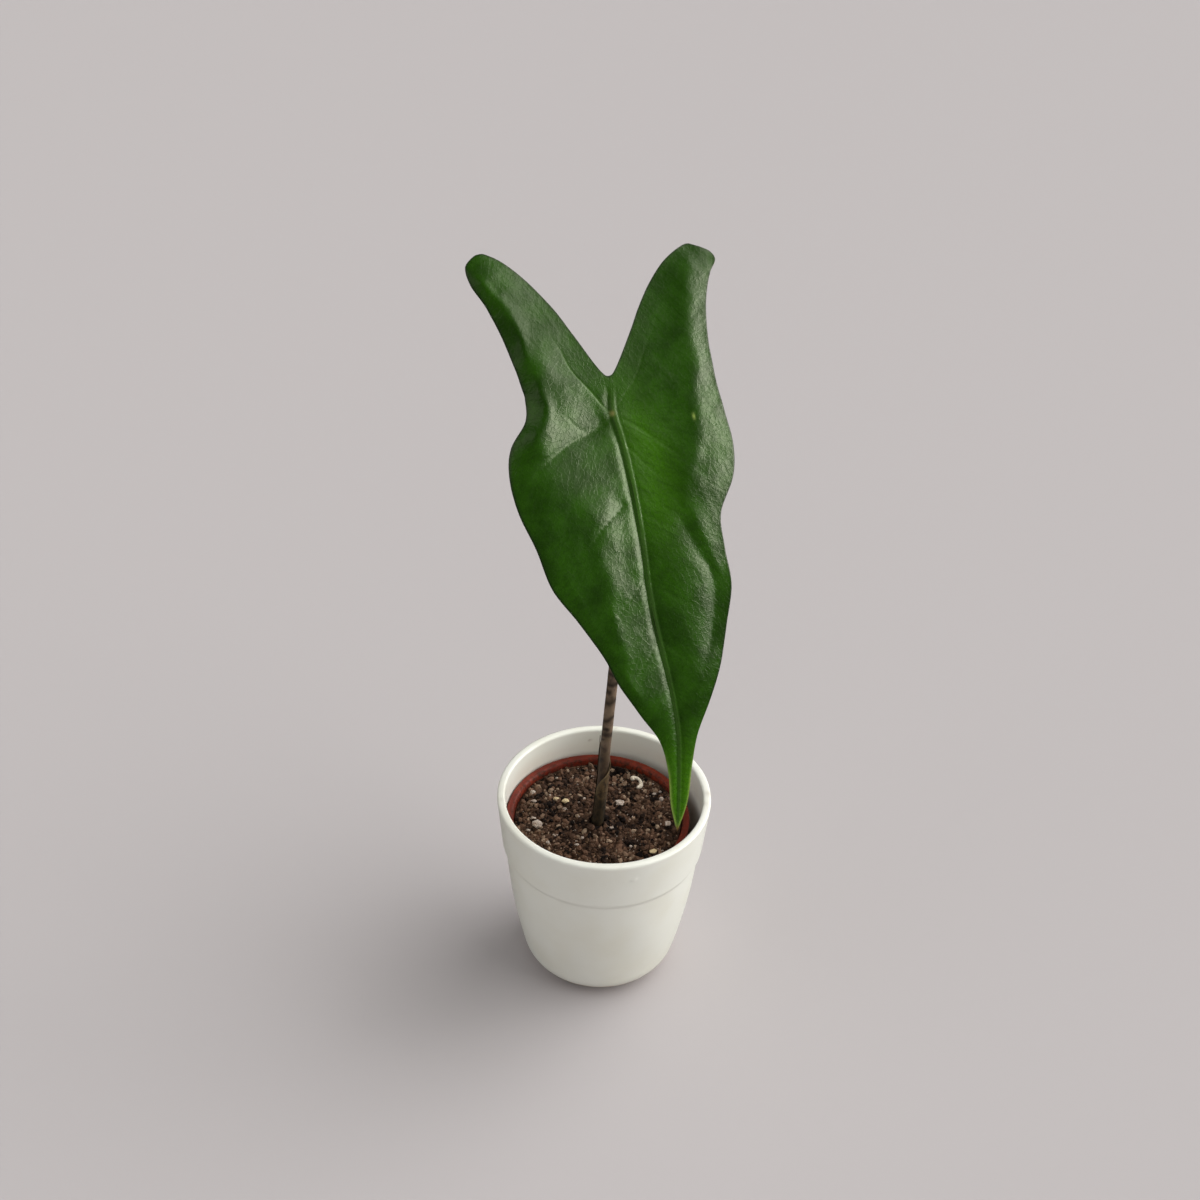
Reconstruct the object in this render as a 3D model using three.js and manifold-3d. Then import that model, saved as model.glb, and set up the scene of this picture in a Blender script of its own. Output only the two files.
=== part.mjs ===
// Potted tigrina alocasia: one arrow-shaped leaf on a tiger-banded stalk, in a thin plastic grow pot that
// stands off-centre inside a white glazed cover pot. Millimetres, +Z up, the front of the plant faces -Y.
// The origin is the centre of the cover pot's underside, on the surface that the plant stands on.
import * as THREE from "three";
import { mergeVertices } from "three/addons/utils/BufferGeometryUtils.js";
import Module from "manifold-3d";

// Driving dimensions, in millimetres unless the name says otherwise.
const GAP = 0.3; // running gap between pieces that rest on each other

const COVER = {
  height: 137,
  rimRadius: 69, // outside, at the lip
  lipInnerRadius: 63.8,
  lipCorner: 1.1, // the flat top of the lip has rounded edges
  bandFoot: 100, // height where the straight upper band ends in a small step
  bandFootRadius: 65.7,
  bodyTopRadius: 63.7, // just under the step
  bodyFootRadius: 47.6, // the side line carried down to the ground
  bodySwell: 2.5, // how far the side bows out between foot and step
  footCorner: 20, // radius of the rounded lower corner
  floor: 8, // inside floor above the ground
  wall: 4,
  innerCorner: 12,
  facets: 48,
};

const GROW = {
  centreX: -3.5, // it leans against the cover pot's left wall
  foot: COVER.floor + GAP,
  rimTop: 119,
  rimRadius: 59.6,
  lipWidth: 4.6,
  lipDepth: 6,
  footRadius: 33.5,
  shoulderRadius: 56.2, // wall radius just under the lip
  wall: 1.2,
  footRing: 3, // how far the floor is lifted over the foot ring
  drainHoles: 8,
  drainRadius: 4,
  drainCircle: 23.5,
  facets: 48,
};

const SOIL = {
  edge: 114.2, // height of the surface at the wall
  crown: 1.8, // how much higher it lies in the middle
};

// The stalk's centre line from the corm to the back of the blade, with its radius at each point.
const STALK = [
  { at: [-4.0, -7.2, 112.3], radius: 3.5 },
  { at: [-4.0, -7.2, 117.0], radius: 3.5 },
  { at: [-2.8, -6.3, 132.0], radius: 3.4 },
  { at: [-1.6, -5.2, 150.0], radius: 3.4 },
  { at: [-0.6, -4.0, 175.0], radius: 3.3 },
  { at: [1.3, -2.1, 210.0], radius: 3.3 },
  { at: [2.8, -0.5, 240.0], radius: 3.2 },
  { at: [3.5, 2.0, 285.0], radius: 3.0 },
  { at: [2.4, 5.0, 330.0], radius: 2.9 },
  { at: [-1.2, 10.0, 366.0], radius: 2.8 },
  { at: [-5.4, 15.0, 389.0], radius: 2.7 },
];
const STALK_NECK = { length: 9, radius: 2.6 }; // the stalk's last stretch, square to the blade

const CORM = { radius: 11, height: 24, neckRadius: 6, clearance: 0.4, facets: 24 };

const SHEATH = {
  foot: 112.6,
  tip: 188, // its point, on the left side of the stalk
  closed: 143, // below this height it wraps almost all the way round
  thickness: 0.8,
  clearance: 0.8, // to the stalk inside it
  wrapDegrees: 325,
  startDegrees: 180, // the free edge that runs straight down the left side, from +X
  flare: 0.9, // how far it opens at the foot
};

// The blade hangs from the stalk along an arc. Places on it are given as a, the distance along the midrib
// from the stalk joint towards the tip, and b, the distance to the plant's right of it.
const BLADE = {
  joint: new THREE.Vector3(-3.5, 8, 411),
  headingDegrees: 24.5, // from -Y towards +X
  fallDegrees: 47, // slope below level at the stalk joint
  frontRadius: 430, // arc of the midrib from the joint to the tip
  backRadius: 980, // arc behind the joint, under the two lobes
  thickness: 1.0,
  swell: 0.11, // rise of each half between its edges, as a share of its width
  swellSkew: 0.75, // below 1 the rise is steepest beside the midrib
  ribDepth: 2.4, // how far the midrib stands out under the blade at the stalk joint
  ribTipDepth: 0.3,
  steps: 2, // mesh rows between two outline points
  columns: 8,
  columnSpread: 1.4, // above 1 the columns crowd towards the midrib
};

// From the tip, up the midrib, past the joint to the floor of the notch between the lobes.
const MIDRIB = [
  [249, 1], [228, 2.5], [207, 4], [186, 5], [166, 4], [146, 2], [125, -0.5], [103, -1.5],
  [81, -0.5], [59, 0.5], [38, 1], [18, 1], [0, 0], [-12, 2], [-21, 3.5],
];
const JOINT_INDEX = 12; // the point of MIDRIB at the stalk joint

// Each margin runs from the tip to the end of its lobe, with one point for each point of the midrib and of
// the notch edge, so that the point pairs are the blade's crosswise lines.
const LEFT = {
  margin: [
    [249, 1], [231, -2.5], [209, -3], [189, -6.5], [170, -17], [151, -27], [132, -34], [110, -45],
    [89, -56.5], [66, -61], [44, -66.5], [24, -67], [9, -62.5], [-4, -51], [-16, -48],
    [-23, -48.2], [-34, -49.2], [-52, -51.6], [-70, -55.8], [-85, -61], [-96, -61], [-101.7, -54.6],
    [-102.4, -51],
  ],
  notch: [
    [-21, 3.5], [-22.5, 0.8], [-31, -3.8], [-48, -10.8], [-66, -18.8], [-83, -29], [-96, -39.8],
    [-101.9, -48], [-102.4, -51],
  ],
};
const RIGHT = {
  margin: [
    [249, 1], [231, 8], [209, 12], [190, 17], [171, 26.5], [151, 35.5], [130, 42.5], [108, 49],
    [87, 48.5], [67, 50], [48, 62], [30, 66.5], [11, 66], [-7, 65.5], [-23, 66.5],
    [-31, 67.4], [-41, 69.3], [-52, 72.2], [-62, 76.3], [-71, 81.2], [-78, 86.6], [-84.2, 84.6], [-88.8, 77],
  ],
  notch: [
    [-21, 3.5], [-22.5, 6.4], [-30, 12.6], [-45, 23.5], [-58, 32.5], [-71, 43], [-82.5, 55.5], [-90.2, 70.5],
    [-88.8, 77],
  ],
};

// Pale grains that lie on the soil: place, then size along x, y and z, then turn about the upright.
const PERLITE = [
  { x: -47.0, y: 21.5, size: [3.4, 3.6, 2.8], turn: 20 },
  { x: -46.0, y: 13.5, size: [3.9, 1.8, 1.6], turn: 10 },
  { x: -45.5, y: -3.0, size: [3.9, 1.8, 1.6], turn: 0 },
  { x: -42.5, y: -10.5, size: [7.6, 5.6, 4.4], turn: -35 },
  { x: -48.3, y: -14.5, size: [3.6, 1.8, 1.6], turn: 0 },
  { x: -31.5, y: 37.0, size: [2.7, 1.8, 1.6], turn: 0 },
  { x: -8.0, y: 38.5, size: [2.7, 2.4, 2.2], turn: 30 },
  { x: -13.0, y: 16.5, size: [2.0, 2.0, 1.8], turn: 0 },
  { x: -30.5, y: -18.5, size: [3.8, 1.6, 1.4], turn: 15 },
  { x: -35.0, y: -26.0, size: [2.6, 2.9, 2.5], turn: 0 },
  { x: -13.0, y: -21.0, size: [2.6, 2.0, 1.7], turn: 40 },
  { x: -16.5, y: -27.0, size: [3.2, 1.6, 1.4], turn: -10 },
  { x: -25.5, y: 6.0, size: [2.6, 2.0, 1.7], turn: 0 },
  { x: 10.5, y: 12.5, size: [5.9, 4.2, 3.6], turn: -20 },
  { x: 33.0, y: 24.5, size: [2.7, 2.0, 1.8], turn: 0 },
  { x: 38.0, y: 18.5, size: [3.3, 3.4, 3.0], turn: 0 },
  { x: 5.5, y: -11.0, size: [3.2, 2.0, 1.8], turn: 25 },
  { x: 18.0, y: -27.0, size: [2.0, 2.0, 1.8], turn: 0 },
  { x: 41.5, y: -4.0, size: [5.0, 4.0, 2.6], turn: 30 },
];
const WOOD_CHIPS = [
  { x: -31.2, y: 15.4, size: [4.0, 2.6, 2.2], turn: 10 },
  { x: -25.3, y: 13.2, size: [4.6, 3.0, 2.6], turn: -15 },
  { x: 32.5, y: -29.5, size: [5.6, 1.8, 1.6], turn: -40 },
];
const GRAIN_LIFT = 0.45; // lowest point of a grain over the soil, so that its slope still clears by the gap
const GRAIN_ROUGHNESS = 0.16; // how far a grain's corners stray, as a share of its size

// A pale curled shaving: its centre line on the soil, seen from above.
const SHAVING = {
  radius: 1.2,
  path: [[18, 37.6], [19.8, 39.6], [22.6, 38.8], [24.4, 35.2], [24.2, 31.4], [21.8, 29]],
};

const radians = THREE.MathUtils.degToRad;
const lerp = THREE.MathUtils.lerp;
const smooth = THREE.MathUtils.smoothstep;
const wasm = await Module();
wasm.setup();

const plant = new THREE.Group();

function finish(color, roughness, metalness = 0) {
  return new THREE.MeshStandardMaterial({ color, roughness, metalness });
}

function addPiece(name, geometry, material) {
  const mesh = new THREE.Mesh(geometry, material);
  mesh.name = name;
  plant.add(mesh);
  return mesh;
}

// A profile of [radius, height] points, turned about the upright axis.
function turned(profile, facets) {
  const points = profile.map(([radius, height]) => new THREE.Vector2(radius, height));
  return new THREE.LatheGeometry(points, facets).rotateX(Math.PI / 2);
}

// Points of a quarter-like arc, from one angle to another, in degrees from the outward direction.
function arc(radius, height, size, from, to, count) {
  return Array.from({ length: count + 1 }, (_, i) => {
    const angle = radians(lerp(from, to, i / count));
    return [radius + size * Math.cos(angle), height + size * Math.sin(angle)];
  });
}

function toSolid(geometry) {
  const bare = geometry.clone();
  bare.deleteAttribute("normal");
  bare.deleteAttribute("uv");
  const merged = mergeVertices(bare, 1e-4);
  return new wasm.Manifold(new wasm.Mesh({
    numProp: 3,
    vertProperties: merged.attributes.position.array,
    triVerts: new Uint32Array(merged.index.array),
  }));
}

function toGeometry(solid) {
  const mesh = solid.getMesh();
  return new THREE.BufferGeometry()
    .setAttribute("position", new THREE.BufferAttribute(mesh.vertProperties, 3))
    .setIndex(new THREE.BufferAttribute(mesh.triVerts, 1));
}

// One closed surface gathered from triangles. Corners that coincide are one vertex, and a triangle that
// has shrunk to a line is dropped.
class Shell {
  constructor() {
    this.positions = [];
    this.triangles = [];
    this.known = new Map();
  }

  vertex(point) {
    const key = point.toArray().map((value) => Math.round(value * 1e3)).join(" ");
    if (!this.known.has(key)) {
      this.known.set(key, this.positions.length / 3);
      this.positions.push(...point.toArray());
    }
    return this.known.get(key);
  }

  triangle(p, q, r) {
    const corners = [this.vertex(p), this.vertex(q), this.vertex(r)];
    if (new Set(corners).size === 3) this.triangles.push(...corners);
  }

  // Two rows of points become a strip that faces the side from which p0, p1, q1, q0 run anticlockwise.
  strip(rowP, rowQ) {
    for (let i = 0; i + 1 < rowP.length; i += 1) {
      this.triangle(rowP[i], rowP[i + 1], rowQ[i + 1]);
      this.triangle(rowP[i], rowQ[i + 1], rowQ[i]);
    }
  }

  geometry() {
    return new THREE.BufferGeometry()
      .setAttribute("position", new THREE.Float32BufferAttribute(this.positions, 3))
      .setIndex(this.triangles);
  }
}

// A round rod along a smooth curve, with a radius that changes evenly from each point to the next.
function rod(curve, radii, steps, sides) {
  const shell = new Shell();
  const frames = curve.computeFrenetFrames(steps, false);
  const radiusAt = (share) => {
    const place = share * (radii.length - 1);
    const index = Math.min(Math.floor(place), radii.length - 2);
    return lerp(radii[index], radii[index + 1], place - index);
  };
  const rings = frames.tangents.map((_, i) => {
    const centre = curve.getPointAt(i / steps);
    const radius = radiusAt(curve.getUtoTmapping(i / steps));
    return Array.from({ length: sides + 1 }, (__, k) => {
      const angle = (2 * Math.PI * (k % sides)) / sides;
      return centre.clone()
        .addScaledVector(frames.normals[i], radius * Math.cos(angle))
        .addScaledVector(frames.binormals[i], radius * Math.sin(angle));
    });
  });
  const cap = (ring, centre) => ring.map(() => centre);
  shell.strip(cap(rings[0], curve.getPointAt(0)), rings[0]);
  rings.slice(1).forEach((ring, i) => shell.strip(rings[i], ring));
  shell.strip(rings[steps], cap(rings[steps], curve.getPointAt(1)));
  return shell.geometry();
}

// The cover pot's side line: straight from foot to step with a slight outward bow.
function coverSide(height) {
  const share = height / COVER.bandFoot;
  const straight = lerp(COVER.bodyFootRadius, COVER.bodyTopRadius, share);
  return straight + COVER.bodySwell * 4 * share * (1 - share);
}

function makeCoverPot() {
  const { height, rimRadius, lipInnerRadius, lipCorner, bandFoot, bandFootRadius } = COVER;
  const { footCorner, innerCorner, floor, wall } = COVER;
  const lean = Math.atan((coverSide(footCorner) - coverSide(footCorner - 2)) / 2); // at the foot
  const leanDegrees = THREE.MathUtils.radToDeg(lean);
  // Axis distance of a lower corner whose arc runs into the leaning side line without a kink.
  const cornerCentre = (height, size) => {
    return coverSide(height - size * Math.sin(lean)) - size * Math.cos(lean);
  };
  const footCentre = cornerCentre(footCorner, footCorner);
  const innerHeight = floor + innerCorner;
  const innerCentre = cornerCentre(innerHeight, innerCorner) - wall;
  const inside = (z) => [coverSide(z) - wall, z];
  const profile = [
    [0, 0],
    ...arc(footCentre, footCorner, footCorner, -90, -leanDegrees, 6),
    ...[40, 60, 80, 95].map((z) => [coverSide(z), z]),
    [COVER.bodyTopRadius, bandFoot - 1.2],
    [bandFootRadius - 0.6, bandFoot - 0.3],
    [bandFootRadius, bandFoot + 0.5],
    ...arc(rimRadius - lipCorner, height - lipCorner, lipCorner, 0, 90, 3),
    ...arc(lipInnerRadius + lipCorner, height - lipCorner, lipCorner, 90, 180, 3),
    [lipInnerRadius - 0.2, 110],
    [lipInnerRadius - 3.6, bandFoot - 2],
    ...[80, 60, 40].map(inside),
    ...arc(innerCentre, innerHeight, innerCorner, -leanDegrees, -90, 4),
    [0, floor],
  ];
  return turned(profile, COVER.facets);
}

// The grow pot's wall runs straight from its foot to the lip.
function growWall(height) {
  const share = (height - GROW.foot) / (GROW.rimTop - GROW.lipDepth - GROW.foot);
  return lerp(GROW.footRadius, GROW.shoulderRadius, share);
}

function makeGrowPot() {
  const { foot, rimTop, rimRadius, lipWidth, lipDepth, footRadius, wall, footRing } = GROW;
  const floorUnder = foot + footRing;
  const floorTop = floorUnder + wall;
  const lipInner = rimRadius - lipWidth;
  const profile = [
    [0, floorUnder],
    [footRadius - 4, floorUnder],
    [footRadius - 3.4, foot],
    [footRadius - 0.4, foot],
    [growWall(foot + 1), foot + 1],
    [growWall(rimTop - lipDepth), rimTop - lipDepth],
    [rimRadius - 0.4, rimTop - lipDepth],
    [rimRadius, rimTop - lipDepth + 0.5],
    [rimRadius, rimTop - 0.8],
    [rimRadius - 0.8, rimTop],
    [lipInner + 1.2, rimTop - 0.3],
    [lipInner, rimTop - 1.5],
    [growWall(floorTop + 1) - wall, floorTop + 1],
    [growWall(floorTop) - wall - 1, floorTop],
    [0, floorTop],
  ];
  let pot = toSolid(turned(profile, GROW.facets));
  for (let i = 0; i < GROW.drainHoles; i += 1) {
    const angle = (2 * Math.PI * i) / GROW.drainHoles;
    const hole = new THREE.CylinderGeometry(GROW.drainRadius, GROW.drainRadius, 10, 16)
      .rotateX(Math.PI / 2)
      .translate(GROW.drainCircle * Math.cos(angle), GROW.drainCircle * Math.sin(angle), floorUnder);
    pot = pot.subtract(toSolid(hole));
  }
  return toGeometry(pot).translate(GROW.centreX, 0, 0);
}

// The corm ends just under the foot of the stalk.
const cormTop = STALK[0].at[2] - GAP;

// The corm's outline about its own axis; grown by a clearance, it is the pocket that the soil keeps for it.
function cormProfile(clearance) {
  const middle = cormTop - CORM.height / 2;
  const points = [[0, cormTop - CORM.height - clearance]];
  for (const angle of [-60, -30, 0, 25]) {
    points.push([
      (CORM.radius + clearance) * Math.cos(radians(angle)),
      middle + (CORM.height / 2 + clearance) * Math.sin(radians(angle)),
    ]);
  }
  points.push([CORM.neckRadius + clearance, cormTop - 2]);
  return points;
}

function makeCorm() {
  const chamfer = 0.4;
  const profile = [
    ...cormProfile(0),
    [CORM.neckRadius, cormTop - chamfer],
    [CORM.neckRadius - chamfer, cormTop],
    [0, cormTop],
  ];
  return turned(profile, CORM.facets).translate(STALK[0].at[0], STALK[0].at[1], 0);
}

// Height of the soil's surface at a place in the grow pot.
function soilTop(x, y) {
  const reach = Math.hypot(x - GROW.centreX, y) / soilEdgeRadius();
  return SOIL.edge + SOIL.crown * (1 - reach * reach);
}

function soilEdgeRadius() {
  return growInside(SOIL.edge) - GAP;
}

// Inside radius of the grow pot, from the lip's inner edge to the floor.
function growInside(height) {
  const floorTop = GROW.foot + GROW.footRing + GROW.wall;
  const low = growWall(floorTop + 1) - GROW.wall;
  const high = GROW.rimRadius - GROW.lipWidth;
  return lerp(low, high, (height - floorTop - 1) / (GROW.rimTop - 1.5 - floorTop - 1));
}

function makeSoil() {
  const floorTop = GROW.foot + GROW.footRing + GROW.wall;
  const edge = soilEdgeRadius();
  const surface = [1, 0.75, 0.5, 0.25, 0].map((share) => {
    return [share * edge, soilTop(GROW.centreX + share * edge, 0)];
  });
  const body = turned([
    [0, floorTop + GAP],
    [growInside(floorTop + 1) - 1 - GAP, floorTop + GAP],
    [growInside(floorTop + 2) - GAP, floorTop + 1.5],
    ...surface,
  ], GROW.facets).translate(GROW.centreX, 0, 0);
  const pocketMouth = CORM.neckRadius + CORM.clearance;
  const pocket = turned([
    ...cormProfile(CORM.clearance),
    [pocketMouth, SOIL.edge + SOIL.crown + 5],
    [0, SOIL.edge + SOIL.crown + 5],
  ], CORM.facets).translate(STALK[0].at[0], STALK[0].at[1], 0);
  return toGeometry(toSolid(body).subtract(toSolid(pocket)));
}

// The blade's own directions: heading forward and down the slope, across to its right, and out of its
// upper face. Both arcs leave the joint in the same direction.
const bearing = radians(BLADE.headingDegrees);
const heading = new THREE.Vector3(Math.sin(bearing), -Math.cos(bearing), 0);
const across = new THREE.Vector3(-heading.y, heading.x, 0);
const up = new THREE.Vector3(0, 0, 1);

function bladePoint(a, b, height) {
  const size = a >= 0 ? BLADE.frontRadius : BLADE.backRadius;
  const fall = radians(BLADE.fallDegrees);
  const slope = fall + a / size;
  return BLADE.joint.clone()
    .addScaledVector(heading, size * (Math.sin(slope) - Math.sin(fall)) + height * Math.sin(slope))
    .addScaledVector(up, -size * (Math.cos(fall) - Math.cos(slope)) + height * Math.cos(slope))
    .addScaledVector(across, b);
}

// One column of a grid of points.
function column(grid, index) {
  return grid.map((row) => row.at(index));
}

function outline(points) {
  return new THREE.SplineCurve(points.map(([a, b]) => new THREE.Vector2(a, b)));
}

// The midrib's depth under the blade: deepest at the stalk joint, gone at the notch.
function ribDepth(row) {
  const joint = JOINT_INDEX * BLADE.steps;
  if (row > joint) return BLADE.ribDepth * Math.max(0, 1 - (row - joint) / (2 * BLADE.steps));
  return lerp(BLADE.ribTipDepth, BLADE.ribDepth, row / joint);
}

// Both faces of one half, as rows of points from the midrib or notch edge out to the margin.
function bladeHalf({ margin, notch }) {
  const rows = (margin.length - 1) * BLADE.steps;
  const bodyRows = (MIDRIB.length - 1) * BLADE.steps;
  const inner = outline(MIDRIB);
  const lobe = outline(notch);
  const outer = outline(margin);
  const upper = [];
  const lower = [];
  for (let row = 0; row <= rows; row += 1) {
    const edge = row <= bodyRows
      ? inner.getPoint(row / bodyRows)
      : lobe.getPoint((row - bodyRows) / (rows - bodyRows));
    const rim = outer.getPoint(row / rows);
    const width = edge.distanceTo(rim);
    const sheet = Array.from({ length: BLADE.columns + 1 }, (_, i) => {
      const share = (i / BLADE.columns) ** BLADE.columnSpread;
      const place = edge.clone().lerp(rim, share);
      const swell = BLADE.swell * width * Math.sin(Math.PI * share ** BLADE.swellSkew);
      return { place, swell, depth: share === 0 && row < bodyRows ? ribDepth(row) : 0 };
    });
    upper.push(sheet.map(({ place, swell }) => bladePoint(place.x, place.y, swell)));
    lower.push(sheet.map(({ place, swell, depth }) => {
      return bladePoint(place.x, place.y, swell - BLADE.thickness - depth);
    }));
  }
  return { upper, lower, bodyRows };
}

function makeBlade() {
  const shell = new Shell();
  const left = bladeHalf(LEFT);
  const right = bladeHalf(RIGHT);
  for (const [half, leftSide] of [[left, true], [right, false]]) {
    for (let row = 0; row + 1 < half.upper.length; row += 1) {
      const faces = [[half.upper, leftSide], [half.lower, !leftSide]];
      for (const [grid, forwards] of faces) {
        if (forwards) shell.strip(grid[row + 1], grid[row]);
        else shell.strip(grid[row], grid[row + 1]);
      }
    }
    const upperRim = column(half.upper, -1);
    const lowerRim = column(half.lower, -1);
    const upperNotch = column(half.upper, 0).slice(half.bodyRows);
    const lowerNotch = column(half.lower, 0).slice(half.bodyRows);
    if (leftSide) {
      shell.strip(upperRim, lowerRim);
      shell.strip(lowerNotch, upperNotch);
    } else {
      shell.strip(lowerRim, upperRim);
      shell.strip(upperNotch, lowerNotch);
    }
  }
  return shell.geometry();
}

// The stalk ends square against the underside of the midrib, at the joint.
const stalkEndDepth = BLADE.thickness + BLADE.ribDepth + GAP;
const stalkNeck = [STALK_NECK.length, 0].map((back) => bladePoint(0, 0, -(stalkEndDepth + back)));
const stalkPoints = [...STALK.map(({ at }) => new THREE.Vector3(...at)), ...stalkNeck];
const stalkRadii = [...STALK.map(({ radius }) => radius), STALK_NECK.radius, STALK_NECK.radius];
const stalkCurve = new THREE.CatmullRomCurve3(stalkPoints, false, "catmullrom", 0.5);

function makeStalk() {
  return rod(stalkCurve, stalkRadii, 40, 12);
}

// The stalk's centre and radius at a height in its lower part, where it is close to upright.
function stalkAt(height) {
  const next = STALK.findIndex(({ at }) => at[2] > height);
  const low = STALK[Math.max(next - 1, 0)];
  const high = STALK[next];
  const share = THREE.MathUtils.clamp((height - low.at[2]) / (high.at[2] - low.at[2]), 0, 1);
  return {
    x: lerp(low.at[0], high.at[0], share),
    y: lerp(low.at[1], high.at[1], share),
    radius: lerp(low.radius, high.radius, share),
  };
}

// A thin open sleeve. Its left edge runs straight down; the other edge starts at the tip, passes behind the
// stalk and comes round the front, so that the sleeve is nearly closed in its lower half.
function makeSheath() {
  const shell = new Shell();
  const rows = 14;
  const sides = 13;
  const inner = [];
  const outer = [];
  for (let row = 0; row <= rows; row += 1) {
    const height = lerp(SHEATH.foot, SHEATH.tip, row / rows);
    const { x, y, radius } = stalkAt(height);
    const wrap = SHEATH.wrapDegrees * smooth(SHEATH.tip + 2 - height, 0, SHEATH.tip - SHEATH.closed);
    const flare = SHEATH.flare * smooth(SHEATH.foot + 14 - height, 0, 14);
    const ring = (size) => Array.from({ length: sides + 1 }, (_, i) => {
      const angle = radians(SHEATH.startDegrees - (wrap * i) / sides);
      return new THREE.Vector3(x + size * Math.cos(angle), y + size * Math.sin(angle), height);
    });
    const inside = radius + SHEATH.clearance + flare;
    inner.push(ring(inside));
    outer.push(ring(inside + SHEATH.thickness));
  }
  for (let row = 0; row < rows; row += 1) {
    shell.strip(outer[row + 1], outer[row]);
    shell.strip(inner[row], inner[row + 1]);
  }
  shell.strip(column(inner, 0), column(outer, 0));
  shell.strip(column(outer, -1), column(inner, -1));
  shell.strip(outer[0], inner[0]);
  shell.strip(inner[rows], outer[rows]);
  return shell.geometry();
}

// A craggy lump: a rounded solid whose corners are pushed in and out by a fixed pattern.
function makeGrain({ x, y, size, turn }, seed) {
  const lump = new THREE.IcosahedronGeometry(0.5, 1);
  const position = lump.attributes.position;
  const corner = new THREE.Vector3();
  for (let i = 0; i < position.count; i += 1) {
    corner.fromBufferAttribute(position, i);
    const side = Math.sin(9 * corner.x + 2.3 * seed) * Math.cos(8 * corner.y + 1.7 * seed);
    const rise = Math.sin(7 * corner.z + seed);
    corner.multiplyScalar(1 + GRAIN_ROUGHNESS * (side + rise));
    position.setXYZ(i, corner.x, corner.y, corner.z);
  }
  lump.scale(...size).rotateZ(radians(turn)).computeBoundingBox();
  const lift = soilTop(x, y) + GRAIN_LIFT - lump.boundingBox.min.z;
  return lump.translate(x, y, lift);
}

function makeShaving() {
  const lift = SHAVING.radius + GRAIN_LIFT;
  const points = SHAVING.path.map(([x, y]) => new THREE.Vector3(x, y, soilTop(x, y) + lift));
  const curve = new THREE.CatmullRomCurve3(points, false, "catmullrom", 0.5);
  const radii = points.map(() => SHAVING.radius);
  return rod(curve, radii, 14, 8);
}

const label = (kind, index) => `${kind}_${String(index + 1).padStart(2, "0")}`;

addPiece("cover_pot", makeCoverPot(), finish(0xeeece2, 0.3));
addPiece("nursery_pot", makeGrowPot(), finish(0x8a4232, 0.5));
addPiece("soil", makeSoil(), finish(0x33241c, 0.95));
addPiece("corm", makeCorm(), finish(0x5a4030, 0.8));
addPiece("petiole", makeStalk(), finish(0x7d6a55, 0.55));
addPiece("leaf_sheath", makeSheath(), finish(0x4a3a28, 0.7));
addPiece("leaf_blade", makeBlade(), finish(0x285416, 0.35));
PERLITE.forEach((grain, i) => {
  addPiece(label("perlite", i), makeGrain(grain, i + 1), finish(0xcfc4b6, 0.9));
});
WOOD_CHIPS.forEach((chip, i) => {
  addPiece(label("wood_chip", i), makeGrain(chip, i + 31), finish(0xa08a66, 0.85));
});
addPiece("curled_shaving", makeShaving(), finish(0xd8cfbf, 0.8));

export default plant;
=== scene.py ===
"""Looks of a potted tigrina alocasia: one arrow-shaped leaf on a tiger-banded stalk, in a grow pot inside a
glazed cover pot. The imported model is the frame, in metres with +Z up, and the plant's front faces -Y.
Sizes in this file are millimetres, and they become metres when a mesh is made."""

import itertools
import logging
import math
from dataclasses import dataclass, field
from enum import Enum
from typing import Any, Sequence, Union

import bpy
import numpy as np
from mathutils import Matrix, Vector


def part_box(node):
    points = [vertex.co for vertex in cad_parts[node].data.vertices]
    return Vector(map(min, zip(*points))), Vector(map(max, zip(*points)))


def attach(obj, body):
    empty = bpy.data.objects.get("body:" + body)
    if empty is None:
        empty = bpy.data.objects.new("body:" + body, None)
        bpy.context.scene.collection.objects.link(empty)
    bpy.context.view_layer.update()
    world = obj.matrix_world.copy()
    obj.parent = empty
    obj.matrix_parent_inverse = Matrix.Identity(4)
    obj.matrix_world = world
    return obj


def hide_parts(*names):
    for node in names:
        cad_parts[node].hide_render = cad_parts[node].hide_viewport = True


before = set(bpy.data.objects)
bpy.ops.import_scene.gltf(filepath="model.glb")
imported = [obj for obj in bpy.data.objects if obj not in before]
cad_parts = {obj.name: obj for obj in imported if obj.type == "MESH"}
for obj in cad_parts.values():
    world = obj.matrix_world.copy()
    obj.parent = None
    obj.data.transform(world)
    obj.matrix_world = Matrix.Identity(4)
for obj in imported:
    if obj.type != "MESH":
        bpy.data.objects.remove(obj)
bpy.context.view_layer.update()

Array = np.ndarray
Colour = tuple[float, float, float, float]
Point = tuple[float, ...]

MM = 0.001  # metres in a millimetre
WELD_STEPS = 2000  # points become one where they agree to this part of a millimetre
SEED = 41
VALUE_SEED = 7  # added to a cell pattern's seed for the values of its cells
HASH_FACTORS = (374761393, 668265263, 1103515245)
HASH_SEED_FACTOR = 1442695041
HASH_MIXER = 1274126177
HASH_MASK = 0xFFFFFF
log = logging.getLogger("potted_plant")


# Noise and cells


def lattice_values(cells: Array, seed: int) -> Array:
    """Fixed pseudo-random values of whole-number cells: odd factors and shifts mix their coordinates.

    Args:
        cells: whole numbers, the last axis holding the coordinates.
        seed: picks another set of values.

    Returns:
        One value from 0 to 1 for each cell.
    """
    factors = np.array(HASH_FACTORS)[: cells.shape[-1]]
    mixed = (cells * factors).sum(-1) + (seed + 1) * HASH_SEED_FACTOR
    mixed = (mixed ^ (mixed >> 13)) * HASH_MIXER
    mixed = mixed ^ (mixed >> 16)
    return (mixed & HASH_MASK) / HASH_MASK


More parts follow.
